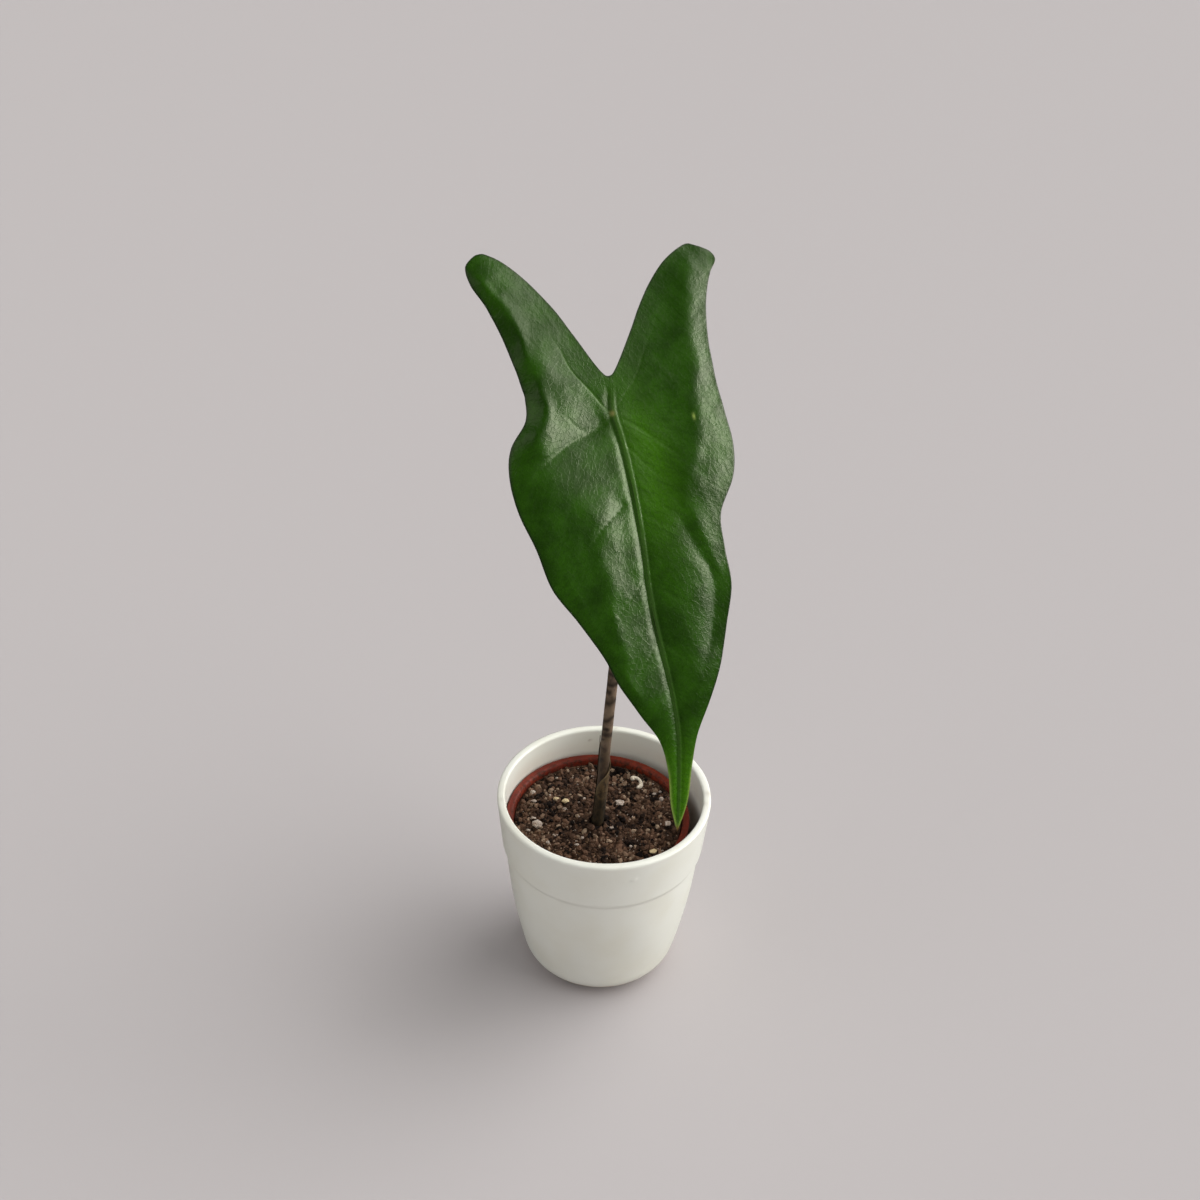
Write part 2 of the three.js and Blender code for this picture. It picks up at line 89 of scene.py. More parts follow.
def noise(points: Array, size: float, seed: int = 0) -> Array:
    """Smooth noise: each lattice cell blends the values of its corners by weights t * t * (3 - 2 t).

    Args:
        points: places, the last axis holding two or three coordinates.
        size: length of a lattice cell.
        seed: picks another field.

    Returns:
        Values from -1 to 1.
    """
    scaled = points / size
    base = np.floor(scaled).astype(np.int64)
    part = scaled - base
    ease = part * part * (3 - 2 * part)
    total = np.zeros(points.shape[:-1])
    for corner in itertools.product((0, 1), repeat=points.shape[-1]):
        offset = np.array(corner)
        weight = np.prod(np.where(offset == 1, ease, 1 - ease), axis=-1)
        total += weight * lattice_values(base + offset, seed)
    return 2 * total - 1


def layered_noise(points: Array, size: float, layers: int, seed: int = 0) -> Array:
    """Noise summed over layers, each with half the cell size and half the height of the one before."""
    total = np.zeros(points.shape[:-1])
    for layer in range(layers):
        total += noise(points, size / 2**layer, seed + layer) / 2**layer
    return total


def nearest_seeds(points: Array, size: float, seed: int = 0) -> tuple[Array, Array, Array]:
    """Cell pattern: one seed point strays inside each lattice cell, and each place measures to its nearest.

    Args:
        points: places, the last axis holding two or three coordinates.
        size: length of a lattice cell.
        seed: picks another pattern.

    Returns:
        The distance to the nearest seed point, how much further the second is, both in cells, and a value
        from 0 to 1 that belongs to the nearest.
    """
    scaled = points / size
    base = np.floor(scaled).astype(np.int64)
    first = np.full(points.shape[:-1], np.inf)
    second = first.copy()
    value = np.zeros(points.shape[:-1])
    for step in itertools.product((-1, 0, 1), repeat=points.shape[-1]):
        cell = base + np.array(step)
        stray = np.stack([lattice_values(cell, seed + axis) for axis in range(points.shape[-1])], -1)
        gap = np.linalg.norm(cell + stray - scaled, axis=-1)
        nearer = gap < first
        second = np.where(nearer, first, np.minimum(second, gap))
        value = np.where(nearer, lattice_values(cell, seed + VALUE_SEED), value)
        first = np.where(nearer, gap, first)
    return first, second - first, value


def ramp(values: Array, low: float, high: float) -> Array:
    """Smooth step t * t * (3 - 2 t) of each value's share of the way from low to high."""
    share = np.clip((values - low) / (high - low), 0, 1)
    return share * share * (3 - 2 * share)


def bell(distance: Array, width: float) -> Array:
    """Bell curve exp(-(distance / width)^2)."""
    return np.exp(-((distance / width) ** 2))


# Lines and grids


def joined(*axes: Union[Array, float]) -> Array:
    """Points made from one array or number for each coordinate, spread to a common shape."""
    return np.stack(np.broadcast_arrays(*axes), -1)


def raised(places: Array, height: Union[Array, float]) -> Array:
    """Points over places of the ground plane, at one height or at one for each."""
    return joined(places[..., 0], places[..., 1], height)


def between(first: Array, last: Array, share: Array) -> Array:
    """Places that share of the way from the first to the last, share being 0 at the first."""
    return first * (1 - share) + last * share


def full_turn(sides: int) -> Array:
    """Angles of a ring's corners, with the first one repeated at the end."""
    return 2 * np.pi * (np.arange(sides + 1) % sides) / sides


def spline(points: Sequence[Point], shares: Array, straight_ends: bool = False) -> Array:
    """Uniform Catmull-Rom curve: between two points it is the cubic whose slope at each is half the step from
    its left neighbour to its right one.

    Args:
        points: the places it goes through.
        shares: places on it from 0 to 1, each stretch between two points taking an equal part.
        straight_ends: whether the missing neighbours carry on straight, not doubled up.

    Returns:
        One row for each share.
    """
    knots = np.asarray(points, float)
    before = 2 * knots[0] - knots[1] if straight_ends else knots[0]
    after = 2 * knots[-1] - knots[-2] if straight_ends else knots[-1]
    padded = np.concatenate([[before], knots, [after]])
    place = np.clip(shares, 0, 1) * (len(knots) - 1)
    index = np.minimum(place.astype(int), len(knots) - 2)
    part = (place - index)[..., None]
    p0, p1, p2, p3 = (padded[index + offset] for offset in range(4))
    slope1 = (p2 - p0) / 2
    slope2 = (p3 - p1) / 2
    cubic = 2 * (p1 - p2) + slope1 + slope2
    square = 3 * (p2 - p1) - 2 * slope1 - slope2
    return ((cubic * part + square) * part + slope1) * part + p1


def along_line(line: Array) -> Array:
    """Length along a line of points up to each of them."""
    steps = np.linalg.norm(np.diff(line, axis=0), axis=1)
    return np.concatenate([[0.0], np.cumsum(steps)])


def evenly(line: Array, count: int) -> Array:
    """The same line with that many points, spaced evenly along its length."""
    length = along_line(line)
    places = np.linspace(0, length[-1], count)
    return np.stack([np.interp(places, length, axis) for axis in line.T], -1)


def rounded(corners: Sequence[tuple[float, float, float]], steps: int = 6) -> Array:
    """An outline whose corners are rounded: each corner is the quadratic curve between the points that lie
    its rounding before and after it.

    Args:
        corners: radius, height and rounding of each corner.
        steps: stretches in each rounded corner.

    Returns:
        The outline's points.
    """
    places = np.array([corner[:2] for corner in corners])
    line = [places[0]]
    for index in range(1, len(places) - 1):
        here = places[index]
        back = places[index - 1] - here
        ahead = places[index + 1] - here
        start = here + back / np.linalg.norm(back) * corners[index][2]
        end = here + ahead / np.linalg.norm(ahead) * corners[index][2]
        share = np.linspace(0, 1, steps + 1)[:, None]
        line.extend((1 - share) ** 2 * start + 2 * share * (1 - share) * here + share**2 * end)
    line.append(places[-1])
    return np.array(line)


def arc(radius: float, height: float, size: float, start: float, end: float, steps: int) -> Array:
    """Arc about a centre at (radius, height): (radius + size cos t, height + size sin t), t in degrees."""
    angle = np.radians(np.linspace(start, end, steps + 1))
    return joined(radius + size * np.cos(angle), height + size * np.sin(angle))


def turned(profile: Array, angles: Array, centre: Point = (0.0, 0.0)) -> Array:
    """Grid of a profile turned about the upright: (x + r cos t, y + r sin t, z) for its points and angles."""
    radius = profile[:, 0, None]
    height = profile[:, 1, None]
    return joined(centre[0] + radius * np.cos(angles), centre[1] + radius * np.sin(angles), height)


def tube(centres: Array, radii: Array, sides: int, across: Vector) -> Array:
    """Grid of a round tube: each ring lies square to its centre line, centre + r (cos t e + sin t f), where e
    is the given direction made square to the line and f is square to both.

    Args:
        centres: points of the centre line.
        radii: one radius for each, or one for each and each side.
        sides: corners of a ring. The first is repeated at the end.
        across: a direction that is never along the line.

    Returns:
        Points with one row for each ring.
    """
    run = np.gradient(centres, axis=0)
    run /= np.linalg.norm(run, axis=1, keepdims=True)
    first = np.array(across) - run * (run @ np.array(across))[:, None]
    first /= np.linalg.norm(first, axis=1, keepdims=True)
    second = np.cross(run, first)
    angle = full_turn(sides)
    ring = np.cos(angle)[:, None] * first[:, None] + np.sin(angle)[:, None] * second[:, None]
    size = np.broadcast_to(np.asarray(radii).reshape(len(centres), -1), (len(centres), sides + 1))
    return centres[:, None] + ring * size[..., None]


def outward(grid: Array) -> Array:
    """Unit normals of a grid: the cross product of its steps along a row and from row to row."""
    across = np.gradient(grid, axis=1)
    along = np.gradient(grid, axis=0)
    normal = np.cross(across, along)
    return normal / np.maximum(np.linalg.norm(normal, axis=-1, keepdims=True), 1e-9)


def distance_to_path(places: Array, path: Array) -> tuple[Array, Array]:
    """Distance in the plane from each place to a path of straight stretches.

    Args:
        places: points of the plane.
        path: the path's points in order.

    Returns:
        The distances, and for each the share of the path's length at which the nearest place lies.
    """
    length = along_line(path)
    best = np.full(places.shape[:-1], np.inf)
    share = np.zeros(places.shape[:-1])
    for index in range(len(path) - 1):
        step = path[index + 1] - path[index]
        part = np.clip((places - path[index]) @ step / (step @ step), 0, 1)
        gap = np.linalg.norm(places - path[index] - part[..., None] * step, axis=-1)
        nearer = gap < best
        here = (length[index] + part * (length[index + 1] - length[index])) / length[-1]
        share = np.where(nearer, here, share)
        best = np.where(nearer, gap, best)
    return best, share


class Surface:
    """Grids and loose triangles gathered into one mesh, with named values for its points."""

    def __init__(self) -> None:
        """Start with nothing in it."""
        self.points: list[Array] = []
        self.triangles: list[Array] = []
        self.values: list[dict[str, Array]] = []
        self.count = 0

    def add(self, points: Array, triangles: Array, **values: Union[Array, float]) -> None:
        """Add points, triangles between them and values for the points, spread over them where need be."""
        shape = points.shape[:-1]
        self.points.append(points.reshape(-1, 3))
        self.triangles.append(triangles + self.count)
        self.values.append({name: np.broadcast_to(value, shape).ravel() for name, value in values.items()})
        self.count += len(self.points[-1])

    def add_grid(self, grid: Array, flip: bool = False, **values: Union[Array, float]) -> None:
        """Add a grid of points: each four neighbours become two triangles.

        Args:
            grid: points by row and column. Its faces look along the cross product of a step along a row and a
                step to the next row.
            flip: whether they look the other way.
            values: one value for all points or one for each, by name.
        """
        rows, columns = grid.shape[:2]
        index = np.arange(rows * columns).reshape(rows, columns)
        a, b, c, d = index[:-1, :-1], index[:-1, 1:], index[1:, 1:], index[1:, :-1]
        halves = [np.stack([a, b, c], -1).reshape(-1, 3), np.stack([a, c, d], -1).reshape(-1, 3)]
        triangles = np.concatenate(halves)
        self.add(grid, triangles[:, ::-1] if flip else triangles, **values)

    def piece(self, name: str, material: bpy.types.Material, smooth: bool = True) -> bpy.types.Object:
        """Make the mesh: points that coincide become one, and triangles that shrank to a line are dropped.

        Args:
            name: the piece's name.
            material: its finish.
            smooth: whether its faces are shaded smoothly.

        Returns:
            The object, at the origin, with its place in its mesh.
        """
        points = np.concatenate(self.points)
        keys = np.round(points * WELD_STEPS).astype(np.int64)
        _, first, same = np.unique(keys, axis=0, return_index=True, return_inverse=True)
        same = same.reshape(-1)
        triangles = same[np.concatenate(self.triangles)]
        a, b, c = triangles.T
        triangles = triangles[(a != b) & (b != c) & (c != a)]
        mesh = bpy.data.meshes.new(name)
        mesh.vertices.add(len(first))
        mesh.vertices.foreach_set("co", (points[first] * MM).astype(np.float32).ravel())
        mesh.loops.add(triangles.size)
        mesh.loops.foreach_set("vertex_index", triangles.astype(np.int32).ravel())
        mesh.polygons.add(len(triangles))
        mesh.polygons.foreach_set("loop_start", np.arange(0, triangles.size, 3, dtype=np.int32))
        mesh.polygons.foreach_set("use_smooth", np.full(len(triangles), smooth))
        mesh.update(calc_edges=True)
        for key in self.values[0]:
            attribute = mesh.attributes.new(key, "FLOAT", "POINT")
            together = np.concatenate([values[key] for values in self.values])
            attribute.data.foreach_set("value", together[first].astype(np.float32))
        mesh.materials.append(material)
        piece = bpy.data.objects.new(name, mesh)
        bpy.context.scene.collection.objects.link(piece)
        log.info("%s: %d triangles", name, len(triangles))
        return piece

    def placed(
        self, name: str, material: bpy.types.Material, slot: str, *nodes: str, smooth: bool = True
    ) -> bpy.types.Object:
        """Make the mesh, let it ride with the plant, and hide the CAD nodes that it stands for."""
        piece = self.piece(name, material, smooth)
        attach(piece, "root")
        if nodes:
            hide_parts(*nodes)
        return piece


def closing_ends(grid: Array, centres: Array) -> tuple[Array, Array]:
    """Rows that close a tube's two ends: its first and its last centre, repeated all round."""
    return np.broadcast_to(centres[0], grid[0].shape), np.broadcast_to(centres[-1], grid[0].shape)


# Shader expressions


def paint(red: int, green: int, blue: int) -> Colour:
    """Linear colour of a display colour given in steps from 0 to 255."""
    shares = [value / 255 for value in (red, green, blue)]
    linear = [s / 12.92 if s <= 0.04045 else ((s + 0.055) / 1.055) ** 2.4 for s in shares]
    return (linear[0], linear[1], linear[2], 1.0)


class Signal:
    """An output socket that takes part in arithmetic: each operator adds one Math node."""

    def __init__(self, sheet: "NodeSheet", socket: bpy.types.NodeSocket) -> None:
        """Wrap a socket of a sheet."""
        self.sheet = sheet
        self.socket = socket

    def _math(self, operation: str, first: "Value", second: "Value") -> "Signal":
        """A Math node on two values."""
        return self.sheet.node("Math", {0: first, 1: second}, {"operation": operation})

    def __add__(self, other: "Value") -> "Signal":
        """This value plus another."""
        return self._math("ADD", self, other)

    def __radd__(self, other: "Value") -> "Signal":
        """Another value plus this."""
        return self._math("ADD", other, self)

    def __sub__(self, other: "Value") -> "Signal":
        """This value less another."""
        return self._math("SUBTRACT", self, other)

    def __rsub__(self, other: "Value") -> "Signal":
        """Another value less this."""
        return self._math("SUBTRACT", other, self)

    def __mul__(self, other: "Value") -> "Signal":
        """This value times another."""
        return self._math("MULTIPLY", self, other)

    def __rmul__(self, other: "Value") -> "Signal":
        """Another value times this."""
        return self._math("MULTIPLY", other, self)

    def smooth(self, low: float, high: float) -> "Signal":
        """Smooth step from 0 at low to 1 at high."""
        ends = {"Value": self, "From Min": low, "From Max": high}
        return self.sheet.node("MapRange", ends, {"interpolation_type": "SMOOTHSTEP"})


Value = Union[Signal, float, Sequence[float]]


class NodeSheet:
    """The node tree of one new material."""

    def __init__(self, name: str) -> None:
        """Make the material and clear its tree."""
        self.material = bpy.data.materials.new(name)
        self.material.use_nodes = True
        self.tree = self.material.node_tree
        self.tree.nodes.clear()
        metres = self.node("TexCoord", output="Object")
        self.grid = self.scaled(metres, 1 / MM, 1 / MM, 1 / MM)

    def node(
        self,
        kind: str,
        inputs: dict[Union[str, int], Value] | None = None,
        settings: dict[str, Any] | None = None,
        output: Union[str, int] = 0,
    ) -> Signal:
        """Add a node.

        Args:
            kind: the node's type without its ShaderNode prefix.
            inputs: values or links of its sockets, by name or number.
            settings: its properties, which are set first. The key stops holds a ramp's (place, colour) pairs.
            output: the socket that is handed back.

        Returns:
            That socket.
        """
        made = self.tree.nodes.new("ShaderNode" + kind)
        for name, value in (settings or {}).items():
            if name == "stops":
                elements = made.color_ramp.elements
                while len(elements) < len(value):
                    elements.new(0.5)
                for element, (place, colour) in zip(elements, value):
                    element.position = place
                    element.color = colour
            else:
                setattr(made, name, value)
        for name, value in (inputs or {}).items():
            if isinstance(value, Signal):
                self.tree.links.new(value.socket, made.inputs[name])
            else:
                made.inputs[name].default_value = value
        return Signal(self, made.outputs[output] if made.outputs else None)

    def attribute(self, name: str) -> Signal:
        """The piece's own named value."""
        return self.node("Attribute", settings={"attribute_name": name}, output="Fac")

    def scaled(self, vector: Signal, x: float, y: float, z: float) -> Signal:
        """A vector multiplied along each axis."""
        return self.node("VectorMath", {0: vector, 1: (x, y, z)}, {"operation": "MULTIPLY"})

    def stretched(self, x: float, y: float, z: float) -> Signal:
        """Millimetre coordinates multiplied along each axis."""
        return self.scaled(self.grid, x, y, z)

    def bent(self, x: Signal, y: Signal, size: float, reach: Value) -> Signal:
        """Plane coordinates pushed aside by noise with lumps of that size."""
        flat = self.node("CombineXYZ", {"X": x, "Y": y})
        return self.node("VectorMath", {0: flat, 1: self.noise(size, 2) * reach})

    def noise(
        self, size: float, detail: float = 3.0, coarse: float = 0.55, where: Signal | None = None
    ) -> Signal:
        """Noise from 0 to 1 with lumps of about that many millimetres.

        Args:
            size: the size of its lumps.
            detail: how many finer layers it has.
            coarse: how strong each finer layer is.
            where: coordinates, if not the piece's own in millimetres.

        Returns:
            The noise.
        """
        inputs = {"Vector": where or self.grid, "Scale": 1 / size, "Detail": detail, "Roughness": coarse}
        return self.node("TexNoise", inputs)

    def cracks(self, size: float, where: Signal | None = None) -> Signal:
        """Distance to the nearest border of cells of about that many millimetres, in cells."""
        inputs = {"Vector": where or self.grid, "Scale": 1 / size}
        return self.node("TexVoronoi", inputs, {"feature": "DISTANCE_TO_EDGE"}, "Distance")

    def mix(self, factor: Value, first: Union[Signal, Colour], second: Union[Signal, Colour]) -> Signal:
        """The first colour, turning into the second as the factor goes from 0 to 1."""
        settings = {"data_type": "RGBA", "clamp_factor": True}
        return self.node("Mix", {0: factor, 6: first, 7: second}, settings, 2)

    def shades(self, factor: Signal, *stops: tuple[float, Colour]) -> Signal:
        """A colour ramp over the factor."""
        return self.node("ValToRGB", {"Fac": factor}, {"stops": stops})

    def surface(
        self, colour: Value, roughness: Value, height: Signal | None = None, **fixed: Value
    ) -> bpy.types.Material:
        """End the tree in one glossy surface.

        Args:
            colour: its colour.
            roughness: how rough it is.
            height: relief in millimetres that shades it.
            fixed: other inputs that are the same all over, with _ for a space.

        Returns:
            The material.
        """
        inputs: dict[Union[str, int], Value] = {"Base Color": colour, "Roughness": roughness}
        inputs.update({name.replace("_", " "): value for name, value in fixed.items()})
        if height is not None:
            inputs["Normal"] = self.node("Bump", {"Height": height, "Distance": MM, "Strength": 1.0})
        shader = self.node("BsdfPrincipled", inputs)
        self.node("OutputMaterial", {"Surface": shader})
        return self.material


# Finishes


@dataclass(frozen=True)
class GlazeFinish:
    """White glaze, creamy and slightly uneven, with a few smudges, and painted shade with brownish reflected
    light on the inner wall.
    """

    white: Colour = paint(237, 237, 227)
    cream: Colour = paint(231, 229, 214)
    smudge: Colour = paint(150, 132, 112)
    # painted shade and brownish reflected light of the inner wall
    painted_shade_and_reflection: Colour = paint(204, 182, 162)
    roughness: float = 0.4

    def material(self) -> bpy.types.Material:
        """The glaze. Its points carry values named smudge and inside, inside marking the inner wall where
        shade and brownish reflected light are painted.
        """
        sheet = NodeSheet("glazed_white")
        cloudy = sheet.noise(38, 2).smooth(0.35, 0.7)
        specks = sheet.noise(1.1, 2).smooth(0.70, 0.76)
        tint = sheet.mix(cloudy * 0.6, self.white, self.cream)
        # painted shade and reflected light on the inner wall, stronger further below the lip
        tint = sheet.mix(sheet.attribute("inside") * (0.3 + 0.5 * sheet.noise(9, 3)), tint, self.painted_shade_and_reflection)
        dirt = sheet.attribute("smudge") * (0.55 + 0.45 * sheet.noise(1.6, 3))
        tint = sheet.mix(dirt + specks * 0.10, tint, self.smudge)
        relief = sheet.noise(7, 2) * 0.05 + sheet.noise(0.8, 2) * 0.006
        rough = self.roughness + 0.12 * (sheet.noise(16, 3) - 0.5) + dirt * 0.25
        return sheet.surface(tint, rough, relief, Specular_IOR_Level=0.5)


@dataclass(frozen=True)
class PlasticFinish:
    """Terracotta-coloured moulded plastic, dusty and with painted shade on the inner wall near the soil."""

    red: Colour = paint(132, 48, 26)
    deep: Colour = paint(100, 30, 16)
    # colour of the dusty inner wall, which also serves as painted shade
    dust: Colour = paint(58, 34, 22)
    roughness: float = 0.45

    def material(self) -> bpy.types.Material:
        """The plastic. Its points carry one value for how dusty it is and how much shade is painted on it."""
        sheet = NodeSheet("terracotta_plastic")
        tint = sheet.mix(sheet.noise(14, 3).smooth(0.3, 0.7), self.red, self.deep)
        # grime and painted shade on the inner wall near the top
        grime_and_shade = sheet.attribute("dust") * sheet.noise(2.2, 4).smooth(0.38, 0.66)
        tint = sheet.mix(grime_and_shade, tint, self.dust)
        scuffs = sheet.noise(1.2, 3, 0.6, sheet.stretched(1, 1, 0.15))
        relief = scuffs * 0.02 + grime_and_shade * 0.12
        rough = self.roughness + grime_and_shade * 0.4 + 0.1 * (scuffs - 0.5)
        return sheet.surface(tint, rough, relief, Specular_IOR_Level=0.3)


@dataclass(frozen=True)
class MixFinish:
    """Potting mix: near-black peat with browner and redder crumbs."""

    name: str = "potting_mix"
    black: Colour = paint(20, 13, 10)
    brown: Colour = paint(70, 50, 37)
    red: Colour = paint(108, 80, 62)
    tan: Colour = paint(156, 134, 112)

    def material(self) -> bpy.types.Material:
        """The mix. Its points carry a value named tone, from dark to pale, which on the soil's top includes
        painted shade in dips and between clods.
        """
        sheet = NodeSheet(self.name)
        tone = sheet.attribute("tone") + 0.35 * (sheet.noise(1.3, 4, 0.65) - 0.5)
        tint = sheet.shades(tone, (0.05, self.black), (0.4, self.brown), (0.72, self.red), (0.97, self.tan))
        relief = sheet.noise(0.7, 4, 0.7) * 0.28 + sheet.cracks(1.1).smooth(0, 0.3) * 0.12
        return sheet.surface(tint, 0.86 + 0.12 * sheet.noise(0.9, 2), relief, Specular_IOR_Level=0.25)


@dataclass(frozen=True)
class PerliteFinish:
    """Expanded volcanic glass: white, chalky and pitted, stained by the soil."""

    name: str = "perlite_white"
    white: Colour = paint(216, 203, 190)
    stain: Colour = paint(158, 128, 104)
    pit: Colour = paint(104, 78, 60)

    def material(self) -> bpy.types.Material:
        """The grains' finish."""
        sheet = NodeSheet(self.name)
        pits = 1 - sheet.cracks(0.75).smooth(0.02, 0.22)
        stained = sheet.noise(1.8, 4, 0.6).smooth(0.42, 0.72)
        tint = sheet.mix(stained * 0.75, self.white, self.stain)
        tint = sheet.mix(pits * 0.55, tint, self.pit)
        relief = sheet.noise(0.5, 3, 0.6) * 0.16 - pits * 0.12
        return sheet.surface(tint, 0.8 + 0.15 * sheet.noise(0.6), relief, Specular_IOR_Level=0.3)


@dataclass(frozen=True)
class WoodFinish:
    """Pale wood with grain along one direction."""

    name: str
    pale: Colour
    dark: Colour
    grain: Point = (0.35, 2.2, 2.2)

    def material(self) -> bpy.types.Material:
        """The wood."""
        sheet = NodeSheet(self.name)
        fibres = sheet.noise(0.9, 4, 0.6, sheet.stretched(*self.grain))
        tint = sheet.mix(fibres.smooth(0.35, 0.7), self.pale, self.dark)
        return sheet.surface(tint, 0.72 + 0.2 * fibres, fibres * 0.18, Specular_IOR_Level=0.3)


@dataclass(frozen=True)
class StalkFinish:
    """Pinkish-brown stalk skin with dark irregular bands and painted shade towards the foot."""

    pink: Colour = paint(126, 106, 88)
    olive: Colour = paint(94, 78, 50)
    # painted shade towards the stalk's foot
    foot_shade: Colour = paint(62, 46, 31)
    band: Colour = paint(38, 27, 20)

    def material(self) -> bpy.types.Material:
        """The skin. Its points carry values named band, olive and foot, foot being where shade is painted low
        on the stalk.
        """
        sheet = NodeSheet("tiger_stalk")
        mottle = sheet.noise(2.6, 4, 0.6, sheet.stretched(1, 1, 0.7))
        streaks = sheet.noise(0.5, 3, 0.5, sheet.stretched(1, 1, 0.06))
        tint = sheet.mix(sheet.attribute("olive") + 0.5 * (mottle - 0.5), self.pink, self.olive)
        # painted shade, darker and browner towards the foot
        tint = sheet.mix(sheet.attribute("foot") * (0.55 + 0.7 * mottle), tint, self.foot_shade)
        tint = sheet.mix(sheet.noise(4, 4, 0.65).smooth(0.5, 0.62) * 0.4, tint, self.band)
        tint = sheet.mix(sheet.attribute("band") * (0.65 + 0.4 * mottle), tint, self.band)
        relief = streaks * 0.06 + mottle * 0.05
        return sheet.surface(tint, 0.5 + 0.2 * (streaks - 0.5), relief, Specular_IOR_Level=0.4)


@dataclass(frozen=True)
class SheathFinish:
    """Dry leaf-base membrane: dark olive brown with a pale free edge and painted shade at its base."""

    brown: Colour = paint(86, 67, 42)
    dark: Colour = paint(26, 23, 14)
    pale: Colour = paint(126, 108, 78)

    def material(self) -> bpy.types.Material:
        """The membrane. Its points carry values named edge and foot, foot being where shade is painted at its
        base.
        """
        sheet = NodeSheet("dry_sheath")
        fibres = sheet.noise(0.8, 4, 0.6, sheet.stretched(1.4, 1.4, 0.08))
        blotches = sheet.noise(3.0, 4, 0.6, sheet.stretched(1, 1, 0.8)).smooth(0.4, 0.62)
        tint = sheet.mix(blotches * 0.85, self.brown, self.dark)
        # painted shade at the base of the membrane
        tint = sheet.mix(sheet.attribute("foot") * (0.45 + 0.5 * fibres), tint, self.dark)
        tint = sheet.mix(sheet.attribute("edge") * (0.55 + 0.45 * fibres), tint, self.pale)
        return sheet.surface(tint, 0.6 + 0.2 * fibres, fibres * 0.16, Specular_IOR_Level=0.35)


@dataclass(frozen=True)
class CormFinish:
    """Brown corky skin with scars in rings."""

    light: Colour = paint(134, 98, 70)
    dark: Colour = paint(66, 44, 32)

    def material(self) -> bpy.types.Material:
        """The skin."""
        sheet = NodeSheet("corm_skin")
        rings = sheet.noise(2.2, 4, 0.6, sheet.stretched(0.25, 0.25, 1.3))
        tint = sheet.mix(rings.smooth(0.35, 0.65), self.light, self.dark)
        return sheet.surface(tint, 0.85, rings * 0.3)


@dataclass(frozen=True)
class LeafFinish:
    """Waxy leaf skin: deep green above with finer and paler veins, matte paler green below."""

    green: Colour = paint(40, 79, 8)
    deep: Colour = paint(28, 58, 6)
    lime: Colour = paint(60, 110, 5)
    vein: Colour = paint(78, 112, 50)
    hem: Colour = paint(28, 42, 22)
    tip_hem: Colour = paint(150, 172, 84)
    scorch: Colour = paint(110, 82, 36)
    joint: Colour = paint(132, 130, 70)
    under: Colour = paint(96, 128, 76)
    under_vein: Colour = paint(150, 166, 116)
    gleam: Colour = paint(250, 255, 219)
    roughness: float = 0.27

    def material(self) -> bpy.types.Material:
        """The skin. Its points carry values named upper, vein, nerve, rib, hem, tip, lime, shade, scorch and
        joint, their place as row and column, the running number of the side vein that they lie on as flow,
        and that of the fine stroke along the blade as brush."""
        sheet = NodeSheet("leaf_green")
        upper = sheet.attribute("upper")
        row = sheet.attribute("row")
        column = sheet.attribute("column")
        rib = sheet.attribute("rib")
        streaks = sheet.noise(2.0, 3, 0.55, sheet.bent(sheet.attribute("flow"), column * 0.09, 7, 2.5))
        strokes = sheet.noise(2.6, 3, 0.55, sheet.bent(sheet.attribute("brush"), row * 0.1, 11, 3))
        threads = streaks.smooth(0.45, 0.75)
        net = 1 - sheet.cracks(2.8, sheet.node("CombineXYZ", {"X": row, "Y": column})).smooth(0.0, 0.10)
        pores = sheet.noise(2.2, 4, 0.6)
        clouds = sheet.noise(16, 3)
        top = sheet.mix(clouds.smooth(0.3, 0.7), self.green, self.deep)
        top = sheet.mix(sheet.attribute("lime"), top, self.lime)
        top = sheet.mix(sheet.attribute("shade") * 0.8, top, self.deep)
        top = sheet.mix(net * 0.22 + threads * 0.35, top, self.deep)
        top = sheet.mix(sheet.attribute("vein") * 0.6, top, self.vein)
        top = sheet.mix(rib * 0.35, top, self.vein)
        lines = net * 0.3 + threads * 0.25 + sheet.attribute("nerve") * 0.8
        below = sheet.mix(lines + rib, self.under, self.under_vein)
        tint = sheet.mix(upper, below, top)
        tint = sheet.mix(sheet.attribute("hem") * 0.8, tint, self.hem)
        tint = sheet.mix(sheet.attribute("tip"), tint, self.tip_hem)
        tint = sheet.mix(sheet.attribute("scorch"), tint, self.scorch)
        tint = sheet.mix(sheet.attribute("joint") * upper, tint, self.joint)
        relief = streaks * 0.11 + strokes * 0.12 - net * 0.04 + sheet.noise(8, 2) * 0.38 + pores * 0.02
        rough = self.roughness + 0.2 * (pores - 0.5) + 0.2 * (strokes - 0.5) + (1 - upper) * 0.25
        return sheet.surface(tint, rough, relief, Specular_IOR_Level=0.5, Specular_Tint=self.gleam)


@dataclass(frozen=True)
class FloorFinish:
    """Plain pale floor."""

    name: str = "plain_floor"
    tone: Colour = paint(182, 177, 177)

    def material(self) -> bpy.types.Material:
        """The floor's finish."""
        return NodeSheet(self.name).surface(self.tone, 0.9, Specular_IOR_Level=0.1)


# The pots


@dataclass(frozen=True)
class Spot:
    """A round place on a surface, with how far it reaches and how strong it is."""

    at: Point
    reach: float
    strength: float

    def mask(self, points: Array) -> Array:
        """Bell curve exp(-(d / reach)^2) of the distance to the spot, times its strength."""
        return self.strength * bell(np.linalg.norm(points - np.array(self.at), axis=-1), self.reach)


